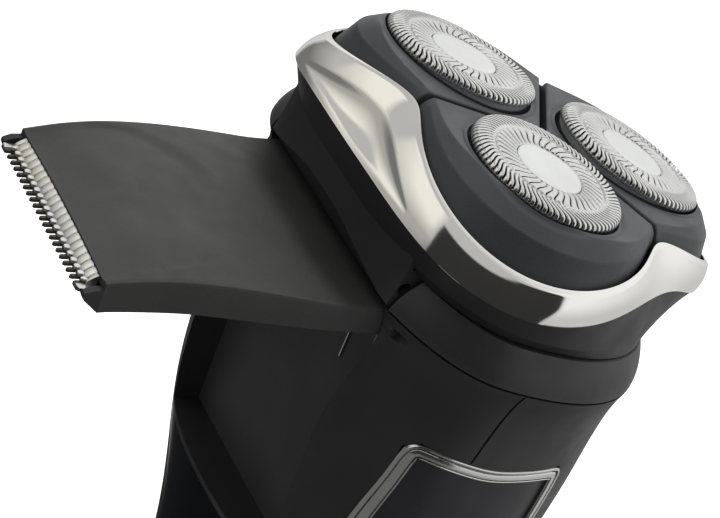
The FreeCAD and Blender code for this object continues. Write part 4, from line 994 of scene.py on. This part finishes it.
# Rays that light the shaver see an even sky; mirror rays see a room of pale and dark walls. Each
# wall is (start heading, end heading, lowest and highest elevation) in degrees, then its softness.
SKY_LOW, SKY_HIGH = 0.38, 1.05
BASE_LOW, BASE_HIGH, MIRROR_DARK = 0.18, 0.50, 0.03
WARM_LOW, WARM_HIGH = (0.42, 0.41, 0.385, 1.0), (0.90, 0.875, 0.81, 1.0)
FRONT_LOW, FRONT_HIGH = 0.58, 0.92
diffuse_sky = sky_mix(sky_cone(UP, 45.0, 45.0), grey(SKY_LOW), grey(SKY_HIGH))
warm_side = sky_mix(sky_limit(UP, 0.20, 0.62), WARM_LOW, WARM_HIGH)
front_side = sky_mix(sky_limit(UP, -0.25, 0.35), grey(FRONT_LOW), grey(FRONT_HIGH))
base_side = sky_mix(sky_limit(UP, -0.05, 0.30), grey(BASE_LOW), grey(BASE_HIGH))
WALLS = [((26.0, 100.0, 5.0, 62.0, 0.05), warm_side),
         ((-30.0, 28.0, -70.0, -16.0, 0.04), grey(MIRROR_DARK)),
         ((207.0, 347.0, -30.0, 72.0, 0.06), front_side),
         ((104.0, 207.0, -24.0, 50.0, 0.015), grey(MIRROR_DARK))]
mirror_sky = base_side
for reach, look_of in WALLS:
    mirror_sky = sky_mix(sky_panel(*reach), mirror_sky, look_of)
rays = tree.nodes.new("ShaderNodeLightPath")
glossy = sky_mix(rays.outputs["Is Glossy Ray"], diffuse_sky, mirror_sky)
tree.links.new(sky_mix(rays.outputs["Is Camera Ray"], glossy, grey(1.0)), backdrop.inputs["Color"])


def lamp(name, place, target, size, power, colour=(1.0, 1.0, 1.0)):
    light = bpy.data.lights.new(name, "AREA")
    light.shape = "DISK"
    light.size = size
    light.energy = power
    light.color = colour
    obj = bpy.data.objects.new(name, light)
    obj.location = place
    obj.rotation_mode = "QUATERNION"
    obj.rotation_quaternion = (Vector(target) - Vector(place)).to_track_quat("-Z", "Y")
    obj.visible_glossy = False
    scene.collection.objects.link(obj)


lamp("key_light", place=(0.06, -0.10, 1.15), target=(0.0, 0.02, 0.14), size=0.30, power=7.0)
lamp("fill_light", place=(0.65, -0.55, 0.60), target=(0.0, 0.0, 0.12), size=0.6, power=1.6)

camera = bpy.data.cameras.new("camera")
camera.sensor_width = 36.0
camera.lens = 147.165
camera.clip_start = 0.01
camera.clip_end = 50.0
eye = bpy.data.objects.new("camera", camera)
scene.collection.objects.link(eye)
right, up, toward = (-0.38217, -0.76641, 0.51630), (0.59878, 0.22018, 0.77006), (-0.70385, 0.60344, 0.37476)
pose = Matrix((right, up, toward)).transposed().to_4x4()
pose.translation = Vector((-0.2702, 0.2599, 0.2774))
eye.matrix_world = pose
scene.camera = eye
scene.view_settings.view_transform = "Standard"
